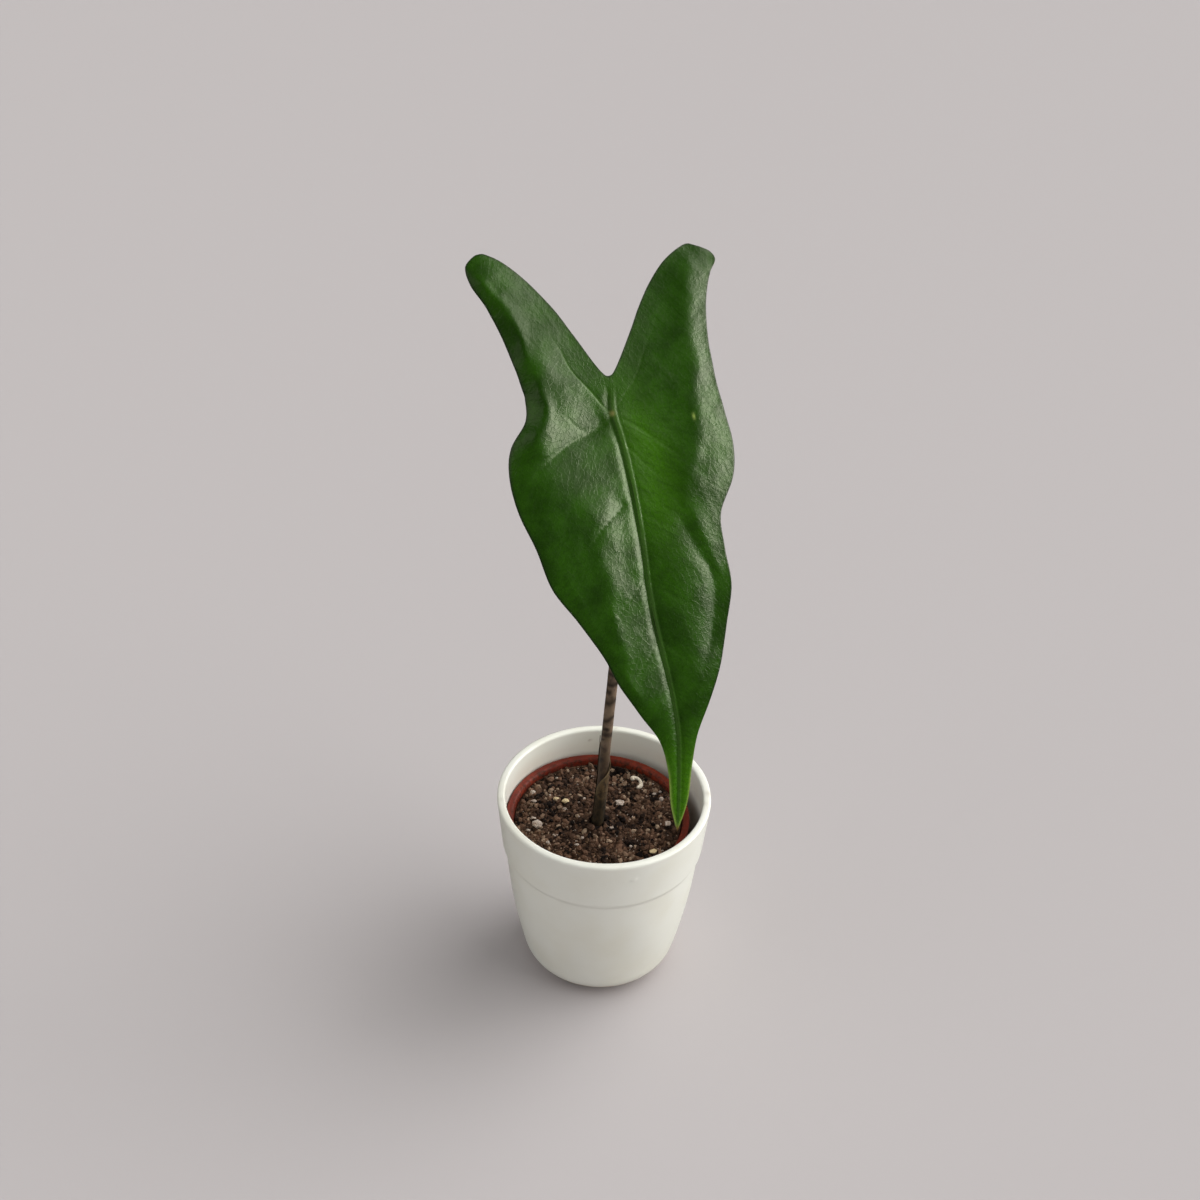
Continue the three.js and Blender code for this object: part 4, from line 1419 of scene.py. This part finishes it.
@dataclass
class Blade:
    """The arrow-shaped blade. Places on it are a, the distance along the midrib from the stalk joint towards
    the tip, and b, the distance to the plant's right."""

    joint: Point = (-3.5, 8.0, 411.0)
    heading: float = math.radians(24.5)
    fall: float = math.radians(47)
    front_radius: float = 430.0
    back_radius: float = 980.0
    thickness: float = 0.5
    rib_depth: float = 3.1
    rib_tip_depth: float = 0.35
    rib_width: float = 1.5
    vein_lean: float = 0.7
    fan_size: float = 60.0
    wave_height: float = 0.5
    wave_size: float = 30.0
    wander_size: float = 16.0
    steady_width: float = 0.8
    nerve_width: float = 1.2
    nerve_depth: float = 0.6
    nerve_lasting: float = 0.75
    hem_width: float = 0.9
    valley_depth: float = 1.5
    curl_reach: float = 4.0
    notch_curl: float = 0.35
    notch_reach: float = 5.0
    rows: int = 290
    columns: int = 100
    midrib: tuple[Point, ...] = (
        (249, 1), (228, 2.5), (207, 4), (186, 5), (166, 4), (146, 2), (125, -0.5), (103, -1.5),
        (81, -0.5), (59, 0.5), (38, 1), (18, 1), (0, 0), (-12, 2), (-21, 3.5),
    )
    margins: dict[Half, tuple[Point, ...]] = field(default_factory=lambda: {
        Half.LEFT: (
            (249, 1), (231, -2.5), (209, -3), (189, -6.5), (170, -17), (151, -27), (132, -34), (110, -45),
            (89, -56.5), (66, -61), (44, -66.5), (24, -67), (9, -62.5), (-4, -51), (-16, -48), (-23, -48.2),
            (-34, -49.2), (-52, -51.6), (-70, -55.8), (-85, -61), (-96, -61), (-101.7, -54.6), (-102.4, -51),
        ),
        Half.RIGHT: (
            (249, 1), (231, 8), (209, 12), (190, 17), (171, 26.5), (151, 35.5), (130, 42.5), (108, 49),
            (87, 48.5), (67, 50), (48, 62), (30, 66.5), (11, 66), (-7, 65.5), (-23, 66.5), (-31, 67.4),
            (-41, 69.3), (-52, 72.2), (-62, 76.3), (-71, 81.2), (-78, 86.6), (-84.2, 84.6), (-88.8, 77),
        ),
    })
    notches: dict[Half, tuple[Point, ...]] = field(default_factory=lambda: {
        Half.LEFT: (
            (-21, 3.5), (-22.5, 0.8), (-31, -3.8), (-48, -10.8), (-66, -18.8), (-83, -29), (-96, -39.8),
            (-101.9, -48), (-102.4, -51),
        ),
        Half.RIGHT: (
            (-21, 3.5), (-22.5, 6.4), (-30, 12.6), (-45, 23.5), (-58, 32.5), (-71, 43), (-82.5, 55.5),
            (-90.2, 70.5), (-88.8, 77),
        ),
    })
    swells: dict[Half, tuple[Point, ...]] = field(default_factory=lambda: {
        Half.LEFT: (
            (-100, 0.065, 1.0), (-75, 0.065, 1.3), (-45, 0.065, 1.6), (-20, 0.075, 1.8), (5, 0.08, 2.0),
            (25, 0.065, 2.0), (45, 0.05, 1.5), (70, 0.045, 1.1), (140, 0.05, 1.0), (250, 0.08, 1.0),
        ),
        Half.RIGHT: (
            (-90, 0.03, 1.6), (-60, 0.03, 2.2), (0, 0.035, 2.3), (45, 0.05, 2.0), (65, 0.06, 1.3),
            (100, 0.065, 1.0), (150, 0.08, 1.0), (250, 0.09, 1.0),
        ),
    })
    veins: dict[Half, tuple[Vein, ...]] = field(default_factory=lambda: {
        Half.LEFT: (
            Vein(((0, -1), (-6, -5), (-13, -9), (-27, -18), (-42, -22), (-54, -27)),
                 0.6, 0.35, 0.9, 4, 1.0, 0.1),
            Vein(((2, -1), (9, -16), (14, -32), (23, -49), (30, -57)), 1.0, 0.35, 2.4, 8, 0.15, 0.6),
            Vein(((1, -4), (7, -17), (4, -24), (-2, -29), (-7, -40)), 0.8, 0.2, 0.2, 4),
            Vein(((50, -3), (60, -20), (66, -27), (76, -38)), 0.8, 0.4, 1.0, 5, 0.0),
            Vein(((90, -2), (99, -8), (109, -21), (122, -32)), 0.8, 0.2, 0.4),
            Vein(((130, -1), (139, -9), (150, -20)), 0.8, 0.2, 0.2),
            Vein(((-98, -58), (-80, -52.5), (-62, -47), (-35, -42), (-19, -39.5), (-4, -41), (11, -49),
                  (22, -57)), 3.2, 0.0, -5.4, 6.5, 0.0, 0.85),
            Vein(((40, -22), (68, -24), (90, -26), (115, -26), (138, -24), (160, -19), (182, -9)),
                 3.8, 0.0, -3.9, 6.5, 0.0, 0.8),
            Vein(((80, -50), (112, -38), (128, -31), (144, -25), (158, -17), (172, -10)),
                 1.2, 0.0, -0.9, 4, 0.0, 0.8),
        ),
        Half.RIGHT: (
            Vein(((0, 1), (-9, 10), (-18, 19), (-35, 30), (-58, 47)), 0.8, 0.1, 0.2, 5, 0.1),
            Vein(((2, 2), (9, 11), (20, 22), (36, 36), (50, 50)), 0.8, 0.25, 0.3),
            Vein(((17, 2), (36, 15), (49, 27)), 0.8, 0.2, 0.3),
            Vein(((57, 1), (65, 12), (72, 25), (77, 37)), 0.8, 0.15, 0.2),
            Vein(((58, 20), (70, 27), (82, 32), (94, 36), (106, 38.5), (120, 36), (136, 31), (150, 25),
                  (163, 20)), 2.0, 0.0, 3.0, 8, 0.0, 0.7),
            Vein(((58, 31), (70, 34), (82, 38), (94, 41), (104, 44)), 1.4, 0.0, -1.3, 5, 0.0, 0.8),
            Vein(((95, -1), (105, 10), (118, 26)), 0.8, 0.15, 0.2),
            Vein(((130, 1), (142, 12), (152, 24)), 0.8, 0.15, 0.2),
            Vein(((-90, 72), (-55, 62), (-32, 56), (-9, 51), (13, 47), (27, 43), (38, 37), (50, 29),
                  (62, 23)), 3.6, 0.0, -3.6, 8, 0.0, 0.85),
        ),
    })
    curl: dict[Half, float] = field(default_factory=lambda: {Half.LEFT: 1.2, Half.RIGHT: -0.6})

    def directions(self) -> tuple[Array, Array]:
        """Level directions of the blade: forward down the slope, and across to its right."""
        forward = np.array([math.sin(self.heading), -math.cos(self.heading), 0.0])
        return forward, np.array([-forward[1], forward[0], 0.0])

    def place(self, a: Array, b: Array, height: Array) -> Array:
        """Points of the blade: the midrib follows one arc from the joint to the tip and another under the
        lobes, with slope fall + a / R, and a point lies b across from it and its height out along the arc's
        normal."""
        forward, across = self.directions()
        radius = np.where(a >= 0, self.front_radius, self.back_radius)
        slope = self.fall + a / radius
        run = radius * (np.sin(slope) - math.sin(self.fall)) + height * np.sin(slope)
        rise = -radius * (math.cos(self.fall) - np.cos(slope)) + height * np.cos(slope)
        upright = np.array([0.0, 0.0, 1.0])
        level = run[..., None] * forward + rise[..., None] * upright
        return np.array(self.joint) + level + b[..., None] * across

    def sheet(self, half: Half) -> tuple[Array, Array, Array, int]:
        """Flat places of one half: straight crosswise lines from the midrib or notch edge to the margin.

        Args:
            half: which half.

        Returns:
            Places (a, b) by row and column, each column's share of the line, the lines' widths, and the
            number of rows along the midrib.
        """
        stretches = len(self.margins[half]) - 1
        body_share = (len(self.midrib) - 1) / stretches
        body_rows = round(self.rows * body_share)
        inner = np.concatenate([
            spline(self.midrib, np.linspace(0, 1, body_rows + 1)),
            spline(self.notches[half], np.linspace(0, 1, self.rows - body_rows + 1))[1:],
        ])
        outer = spline(self.margins[half], np.concatenate([
            np.linspace(0, body_share, body_rows + 1),
            np.linspace(body_share, 1, self.rows - body_rows + 1)[1:],
        ]))
        step = np.linspace(0, 1, self.columns + 1)
        share = (0.75 * step**1.35 + 0.25 * (1 - (1 - step) ** 1.3))[None, :, None]
        places = between(inner[:, None], outer[:, None], share)
        width = np.linalg.norm(outer - inner, axis=1)
        return places, share[0, :, 0], width, body_rows

    def relief(self, half: Half, places: Array, share: Array, width: Array) -> tuple[Array, dict[str, Array]]:
        """Height of the upper face over the hanging sheet, and the masks that its finish needs.

        The height is the half's swell * width * sin(pi s^skew), where swell and skew change along the
        blade, plus soft waves, less each vein's groove and fold, depth * exp(-(d / width)^2) + fold *
        exp(-e / reach) with e = sqrt(d^2 + width^2), and less the drop of the curled margin, curl *
        exp(-d / reach). Lines wider than the steady width wander by low noise. The midrib stands up in a
        round ridge with a soft valley on its left.

        Args:
            half: which half.
            places: its flat places.
            share: each column's share of its line.
            width: each line's width.

        Returns:
            The heights, and the masks by name.
        """
        stations, sizes, skews = np.array(self.swells[half]).T
        size = np.interp(places[..., 0], stations, sizes)
        skew = np.interp(places[..., 0], stations, skews)
        swell = size * width[:, None] * np.sin(np.pi * share**skew)
        fade = ramp(width, 4, 26)[:, None]
        to_rim, _ = distance_to_path(places, spline(self.margins[half], np.linspace(0, 1, 160)))
        to_notch, _ = distance_to_path(places, spline(self.notches[half], np.linspace(0, 1, 60)))
        to_rib, along = distance_to_path(places, spline(self.midrib, np.linspace(0, 1, 80)))
        waves = layered_noise(places, self.wave_size, 2, SEED + half.value)
        height = swell + self.wave_height * fade * waves
        shown = np.zeros_like(height)
        nerve = np.zeros_like(height)
        wander = joined(*(layered_noise(places, self.wander_size, 2, SEED + shift) for shift in (21, 22)))
        for vein in self.veins[half]:
            strayed = places + (vein.width - self.steady_width) * wander
            gap, part = distance_to_path(strayed, spline(vein.path, np.linspace(0, 1, 8 * len(vein.path))))
            strength = vein.fading(part, vein.lasting) * fade
            groove = bell(gap, vein.width) * strength
            fold = np.exp(-np.hypot(gap, vein.width) / vein.reach) * strength
            height -= vein.depth * groove + vein.fold * fold
            shown = np.maximum(shown, groove * vein.show)
            standing = (vein.depth > 0) * fade * vein.fading(part, self.nerve_lasting)
            nerve = np.maximum(nerve, bell(gap, self.nerve_width) * standing)
        curl = self.curl[half] * ramp(width, 6, 34)[:, None]
        height -= curl * np.exp(-to_rim / self.curl_reach)
        height -= self.notch_curl * curl * np.exp(-to_notch / self.notch_reach)
        rib_size = 0.35 + 0.65 * along * (along < 0.999)
        offset = half.value * to_rib
        ridge = np.exp(-(np.abs((offset - 0.8 * rib_size) / (0.4 + 1.4 * rib_size)) ** 3))
        valley = bell(offset + 0.8 * rib_size, 1.4 + 2.0 * rib_size)
        in_body = ramp(-places[..., 0], -250, -246) * (1 - ramp(-places[..., 0], 4, 18))
        height += (ridge - self.valley_depth * valley) * rib_size * in_body
        masks = {
            "vein": shown,
            "rib": ridge * in_body,
            "crease": bell(offset + 1.5 * rib_size, 1.0) * in_body,
            "nerve": nerve,
            "hem": bell(np.minimum(to_rim, to_notch), self.hem_width),
            "to_rib": to_rib,
            "rib_size": rib_size * in_body,
        }
        return height, masks

    def tones(self, half: Half, places: Array, masks: dict[str, Array]) -> dict[str, Array]:
        """Values for the finish at each place: fresher green by the midrib on the right and at the tip, a
        darker hem, painted shade on the lobes and in the crease on the midrib's left, and one pale fleck."""
        a, b = places[..., 0], places[..., 1]
        fresh = bell(a - 30, 45) * bell(b - 14, 14)
        tip = ramp(a, 176, 226)
        fleck = bell(a - 11, 1.5) * bell(b - 45, 0.7)
        clouds = 0.5 + 0.5 * layered_noise(places, 22, 3, SEED + 9)
        return {
            "lime": np.clip(0.7 * fresh * (0.6 + 0.6 * clouds) + 0.9 * tip, 0, 1),
            "shade": np.clip(0.45 * ramp(-a, -10, 60) * (0.5 + clouds * 0.6) + 0.8 * masks["crease"], 0, 1),
            "tip": np.clip(0.6 * masks["hem"] * ramp(a, 190, 222) + fleck, 0, 1),
            "hem": masks["hem"] * (1 - ramp(a, 150, 190)),
            "scorch": ramp(a, 244.5, 248),
            "joint": bell(np.hypot(a, b), 1.3),
            "vein": masks["vein"],
            "nerve": masks["nerve"],
            "rib": masks["rib"],
            "row": a,
            "column": b,
            "flow": self.flow(a, np.abs(b)),
            "brush": np.abs(b) - 0.5 * a,
        }

    def flow(self, a: Array, b: Array) -> Array:
        """Number that is the same all along a side vein: a - lean * b where that is above 0, and round the
        joint, behind the first side vein, the angle past that vein times the fan's size."""
        start = a - self.vein_lean * b
        past = np.arctan2(b, a) - math.atan2(1, self.vein_lean)
        return np.where(start >= 0, start, -self.fan_size * past)

    def build(self) -> bpy.types.Object:
        """The blade as one closed shell: upper and lower faces of both halves, and a hem round them. The
        lower face takes every second column."""
        shell = Surface()
        for half in Half:
            places, share, width, body_rows = self.sheet(half)
            height, masks = self.relief(half, places, share, width)
            a, b = places[..., 0], places[..., 1]
            rib = self.rib_tip_depth + (self.rib_depth - self.rib_tip_depth) * masks["rib_size"]
            rib = rib * bell(masks["to_rib"], self.rib_width) * (masks["rib_size"] > 0)
            depth = self.thickness + rib + self.nerve_depth * masks["nerve"]
            upper = self.place(a, b, height)
            lower = self.place(a, b, height - depth)
            values = self.tones(half, places, masks)
            coarse = {name: value[:, ::2] for name, value in values.items()}
            backwards = half is Half.LEFT
            shell.add_grid(upper, flip=not backwards, upper=1.0, **values)
            shell.add_grid(lower[:, ::2], flip=backwards, upper=0.0, **coarse)
            for column, rows, inward in ((-1, slice(0, None), False), (0, slice(body_rows, None), True)):
                self.add_hem(shell, upper[rows, column], lower[rows, column], backwards != inward,
                             {name: value[rows, column] for name, value in values.items()})
        return shell.placed("leaf_blade_veined", LeafFinish().material(), "leaf_green", "leaf_blade")

    @staticmethod
    def add_hem(shell: Surface, upper: Array, lower: Array, flip: bool, values: dict[str, Array]) -> None:
        """Close one edge by a strip from the upper face to the lower one."""
        share = np.array([0.0, 0.5, 1.0])[:, None]
        shell.add_grid(between(upper, lower, share[..., None]), flip=flip, upper=1 - share, **values)


@dataclass(frozen=True)
class Band:
    """A dark band of the stalk: its height, thickness, slant across the stalk, where round it it is darkest
    (degrees from +X) and how much of the way round it reaches."""

    height: float
    thickness: float
    slant: float = 0.0
    facing: float = -90.0
    wrap: float = 1.0


@dataclass
class Stalk:
    """The stalk from the corm to the back of the blade."""

    points: tuple[Point, ...] = (
        (-4.0, -7.2, 112.3), (-4.0, -7.2, 117.0), (-2.8, -6.3, 132.0), (-1.6, -5.2, 150.0),
        (-0.6, -4.0, 175.0), (1.3, -2.1, 210.0), (2.8, -0.5, 240.0), (3.5, 2.0, 285.0), (2.4, 5.0, 330.0),
        (-1.2, 10.0, 366.0), (-5.4, 15.0, 389.0),
    )
    radii: Point = (3.3, 3.3, 3.3, 3.4, 3.3, 3.3, 3.2, 3.0, 2.9, 2.8, 2.7, 2.6, 2.6)
    neck_depths: Point = (12.7, 3.0)
    waver: float = 0.10
    band_stray: float = 1.2
    hidden_from: float = 236.0
    hidden_to: float = 404.0
    rings: int = 900
    sides: int = 48
    seen_bands: tuple[Band, ...] = (
        Band(229.5, 2.6, 1.2), Band(222.5, 2.2, 0.0, 200, 0.5), Band(215.7, 2.6, 0.4), Band(202.0, 2.4, 4.0),
        Band(194.5, 1.6, 0.5, -150, 0.6), Band(190.6, 2.2, -0.6), Band(187.0, 1.2, 0.0, 180, 0.5),
        Band(180.0, 2.0, 0.0, -110, 0.25), Band(171.5, 2.2, 1.0, 200, 0.45), Band(164.0, 1.8, -1.0, 10, 0.4),
        Band(157.0, 2.0, 1.5, -60, 0.4), Band(150.0, 1.8, 0.0, -120, 0.5),
    )

    def centre_line(self) -> tuple[Array, Array]:
        """Centre line and radius: a spline through the points and two more, square to the blade's back."""
        blade = Blade()
        zero = np.zeros(1)
        neck = [tuple(blade.place(zero, zero, np.full(1, -depth))[0]) for depth in self.neck_depths]
        share = np.linspace(0, 1, 4 * self.rings)
        knots = [*self.points, *neck]
        line = spline(knots, share, straight_ends=True)
        radius = np.interp(share * (len(knots) - 1), np.arange(len(knots)), self.radii)
        length = along_line(line)
        return evenly(line, self.rings), np.interp(np.linspace(0, length[-1], self.rings), length, radius)

    def high_bands(self) -> list[Band]:
        """Bands of the stretch that the blade hides, at uneven steps with random slants."""
        draw = np.random.default_rng(SEED + 5)
        bands = []
        height = self.hidden_from
        while height < self.hidden_to:
            thickness = draw.uniform(1.2, 3.0)
            slant = draw.uniform(-3, 3)
            facing = draw.uniform(-180, 180)
            bands.append(Band(height, thickness, slant, facing, draw.uniform(0.35, 1.0)))
            height += draw.uniform(3.5, 8.5)
        return bands

    def band_mask(self, grid: Array, angle: Array) -> Array:
        """Darkness of the bands: a bell curve over the height, which is slanted by cos of the angle and
        strayed by noise, and which fades away from the side that a short band faces."""
        strayed = grid[..., 2] + self.band_stray * layered_noise(grid, 4.5, 3, SEED)
        mask = np.zeros(grid.shape[:2])
        for band in [*self.seen_bands, *self.high_bands()]:
            off = strayed - band.height - band.slant * np.cos(angle) * 0.5
            mark = bell(off, band.thickness)
            if band.wrap < 1:
                facing = 0.5 + 0.5 * np.cos(angle - math.radians(band.facing))
                mark = mark * ramp(facing, 1 - band.wrap - 0.05, 1 - band.wrap + 0.35)
            mask = np.maximum(mask, mark)
        return mask

    def build(self) -> bpy.types.Object:
        """The stalk as one closed tube that wavers a little, with its bands as a value of its points."""
        centres, radii = self.centre_line()
        even = tube(centres, radii, self.sides, Vector((1, 0, 0)))
        push = self.waver * layered_noise(even, 9, 3, SEED)
        grid = tube(centres, radii[:, None] + push, self.sides, Vector((1, 0, 0)))
        band = self.band_mask(grid, full_turn(self.sides)[None])
        rise = grid[..., 2]
        olive = np.clip(0.25 + 0.35 * noise(grid, 7, SEED + 2) + 0.5 * ramp(rise, 330, 400), 0, 1)
        # foot: painted shade on the low stalk, fading out between 158 and 200 mm up
        foot = 1 - ramp(rise, 158, 200)
        shell = Surface()
        shell.add_grid(grid, band=band, olive=olive, foot=foot)
        for ring, end, flip in zip((grid[0], grid[-1]), closing_ends(grid, centres), (True, False)):
            shell.add_grid(np.stack([ring, end]), flip=flip, band=0.2, olive=0.5, foot=0.5)
        return shell.placed("petiole_banded", StalkFinish().material(), "tiger_stalk", "petiole")


@dataclass
class Sheath:
    """The withered membrane round the lower stalk: closed at the foot, with an edge that climbs round it."""

    foot: float = 112.6
    tip: float = 188.0
    closed: float = 143.0
    thickness: float = 0.36
    clearance: float = 0.22
    wrap: float = math.radians(325)
    start: float = math.radians(180)
    base_top: float = 137.0
    base_swell: float = 0.15
    ripple: float = 0.28
    edge_curl: float = 0.3
    rough_radius: float = 4.0
    rows: int = 220
    columns: int = 90

    def opened(self, height: Array) -> Array:
        """How far round the stalk it reaches at each height, in radians."""
        return self.wrap * ramp(self.tip + 2 - height, 0, self.tip - self.closed)

    def wall(self, extra: float) -> Array:
        """Grid of one face of the membrane.

        Args:
            extra: how far it lies outside the inner face.

        Returns:
            Points by height and by angle. The radius is the stalk's, plus the clearance, the swollen base and
            small ripples, and the angle runs from the straight edge to the free one.
        """
        centres, radii = Stalk().centre_line()
        height = np.linspace(self.foot, self.tip, self.rows)
        x, y = (np.interp(height, centres[:, 2], centres[:, axis])[:, None] for axis in (0, 1))
        inside = np.interp(height, centres[:, 2], radii) + self.clearance
        opened = self.opened(height)
        share = np.linspace(0, 1, self.columns)[None]
        waver = 0.07 * noise(joined(height, 0.0), 5, SEED)
        angle = self.start - (opened[:, None] + waver[:, None]) * share
        base = self.base_swell * (1 - ramp(height, self.base_top - 5, self.base_top + 1.5))[:, None]
        round_places = joined(np.cos(angle) * self.rough_radius, np.sin(angle) * self.rough_radius,
                              height[:, None] * 0.3)
        ripples = self.ripple * layered_noise(round_places, 2.4, 2, SEED)
        curled = self.edge_curl * bell((1 - share) * opened[:, None] * self.rough_radius, 1.2)
        radius = inside[:, None] + base * (0.85 + 0.4 * ripples) + np.abs(ripples) * 0.6 + curled + extra
        return joined(x + radius * np.cos(angle), y + radius * np.sin(angle), height[:, None])

    def build(self) -> bpy.types.Object:
        """The membrane as one closed thin shell."""
        inner = self.wall(0)
        outer = self.wall(self.thickness)
        share = np.linspace(0, 1, self.columns)[None]
        height = outer[..., 2]
        to_edge = (1 - share) * self.opened(height) * 4.2
        edge = 0.7 * bell(to_edge, 1.5) * ramp(height, self.closed - 3, self.closed + 3)
        # foot: painted shade at the membrane's base, fading out just above its swollen top
        foot = 1 - ramp(height, self.base_top - 2, self.base_top + 8)
        values = {"edge": edge, "foot": 0.9 * foot}
        shell = Surface()
        shell.add_grid(outer, flip=True, **values)
        shell.add_grid(inner, **values)
        every = slice(None)
        edges = (((every, 0), True), ((every, -1), False), ((0, every), False), ((-1, every), True))
        for line, flip in edges:
            strip = np.stack([inner[line], outer[line]])
            shell.add_grid(strip, flip=flip, **{name: value[line] for name, value in values.items()})
        return shell.placed("sheath_membrane", SheathFinish().material(), "dry_sheath", "leaf_sheath")


# Studio


@dataclass(frozen=True)
class Lamp:
    """A wide distant light: the direction that it comes from, its spread in degrees, its strength and colour,
    whether glossy surfaces mirror it, and whether it lights dull ones."""

    name: str
    source: Point
    spread: float
    strength: float
    colour: Point = (1.0, 1.0, 1.0)
    shines: bool = False
    lights: bool = True

    def build(self) -> None:
        """Add it to the scene."""
        light = bpy.data.lights.new(self.name, "SUN")
        light.energy = self.strength
        light.angle = math.radians(self.spread)
        light.color = self.colour
        lamp = bpy.data.objects.new(self.name, light)
        lamp.rotation_euler = Vector(self.source).to_track_quat("Z", "Y").to_euler()
        lamp.visible_glossy = self.shines
        lamp.visible_diffuse = self.lights
        bpy.context.scene.collection.objects.link(lamp)


@dataclass
class Studio:
    """Pale floor and backdrop, soft light from the right and the camera at the photograph's angle."""

    camera_at: Point = (-7.07, -821.74, 871.09)
    pitch: float = math.radians(35.3)
    roll: float = math.radians(2.0)
    lens: float = 51.0
    sensor: float = 36.0
    clip: tuple[float, float] = (0.01, 100.0)
    floor_half: float = 9000.0
    floor_height: float = -0.05
    wall_radius: float = 9000.0
    wall_height: float = 9000.0
    wall_sweep: float = 4000.0
    wall_sides: int = 96
    lamps: tuple[Lamp, ...] = (
        Lamp("soft_key", (0.70, 0.12, 0.70), 80, 2.15, (1.0, 0.99, 0.97)),
        Lamp("window_low", (0.98, 0.05, 0.20), 40, 0.9, shines=True),
        Lamp("window_high", (0.73, 0.38, 0.57), 40, 0.7, shines=True),
        Lamp("window_wide", (0.88, 0.22, 0.42), 90, 0.6, shines=True),
        Lamp("window_glint", (0.96, 0.08, 0.26), 34, 1.0, shines=True, lights=False),
        Lamp("left_fill", (-0.82, 0.0, 0.57), 90, 0.36),
        Lamp("left_rim", (-0.81, -0.14, 0.57), 55, 0.35, shines=True),
        Lamp("top_fill", (0.23, 0.41, 0.88), 60, 0.2),
        Lamp("front_fill", (0.20, -0.97, 0.12), 90, 0.55),
    )
    sky: Colour = (1.0, 0.99, 0.98, 1.0)
    sky_strength: float = 0.2

    def add_floor(self) -> None:
        """A level square under the plant."""
        side = np.array([-self.floor_half, self.floor_half])
        x, y = np.meshgrid(side, side)
        shell = Surface()
        shell.add_grid(joined(x, y, self.floor_height))
        floor = shell.piece("studio_floor", FloorFinish().material())
        floor.visible_glossy = False

    def add_backdrop(self) -> None:
        """A round wall that sweeps up from the floor by a quarter circle. Only the camera sees it: it throws
        no shadow and no light on the plant."""
        start = self.wall_radius - self.wall_sweep
        sweep = arc(start, self.wall_sweep + 2 * self.floor_height, self.wall_sweep, -90, 0, 32)
        profile = np.concatenate([sweep, [[self.wall_radius, self.wall_height]]])
        shell = Surface()
        shell.add_grid(turned(profile, full_turn(self.wall_sides)), flip=True)
        wall = shell.piece("studio_backdrop", FloorFinish("plain_backdrop").material())
        wall.visible_glossy = False
        wall.visible_diffuse = False
        wall.visible_shadow = False

    def add_sky(self) -> None:
        """Even light from all round."""
        world = bpy.data.worlds.new("studio_sky")
        world.use_nodes = True
        background = world.node_tree.nodes["Background"]
        background.inputs["Color"].default_value = self.sky
        background.inputs["Strength"].default_value = self.sky_strength
        world.cycles_visibility.glossy = False
        bpy.context.scene.world = world

    def add_camera(self) -> None:
        """The camera: it looks along +Y and down by the pitch, turned about its own axis by the roll."""
        ahead = Vector((0, math.cos(self.pitch), -math.sin(self.pitch)))
        level = Vector((1, 0, 0))
        above = level.cross(ahead)
        right = math.cos(self.roll) * level + math.sin(self.roll) * above
        up = -math.sin(self.roll) * level + math.cos(self.roll) * above
        turn = Matrix((right, up, -ahead)).transposed().to_4x4()
        data = bpy.data.cameras.new("photo_camera")
        data.lens = self.lens
        data.sensor_width = self.sensor
        data.clip_start, data.clip_end = self.clip
        camera = bpy.data.objects.new("photo_camera", data)
        camera.matrix_world = Matrix.Translation(Vector(self.camera_at) * MM) @ turn
        bpy.context.scene.collection.objects.link(camera)
        bpy.context.scene.camera = camera

    def build(self) -> None:
        """Floor, backdrop, lights, sky and camera, with colours shown as they are."""
        self.add_floor()
        self.add_backdrop()
        for lamp in self.lamps:
            lamp.build()
        self.add_sky()
        self.add_camera()
        bpy.context.scene.view_settings.view_transform = "Standard"


def main() -> None:
    """Build the studio and the plant, piece by piece."""
    logging.basicConfig(level=logging.INFO, format="%(message)s")
    Studio().build()
    CoverPot().build()
    GrowPot().build()
    soil = PottingMix()
    soil.build()
    Corm().build()
    Toppings().build(soil)
    Stalk().build()
    Sheath().build()
    Blade().build()


if __name__ == "__main__":
    main()
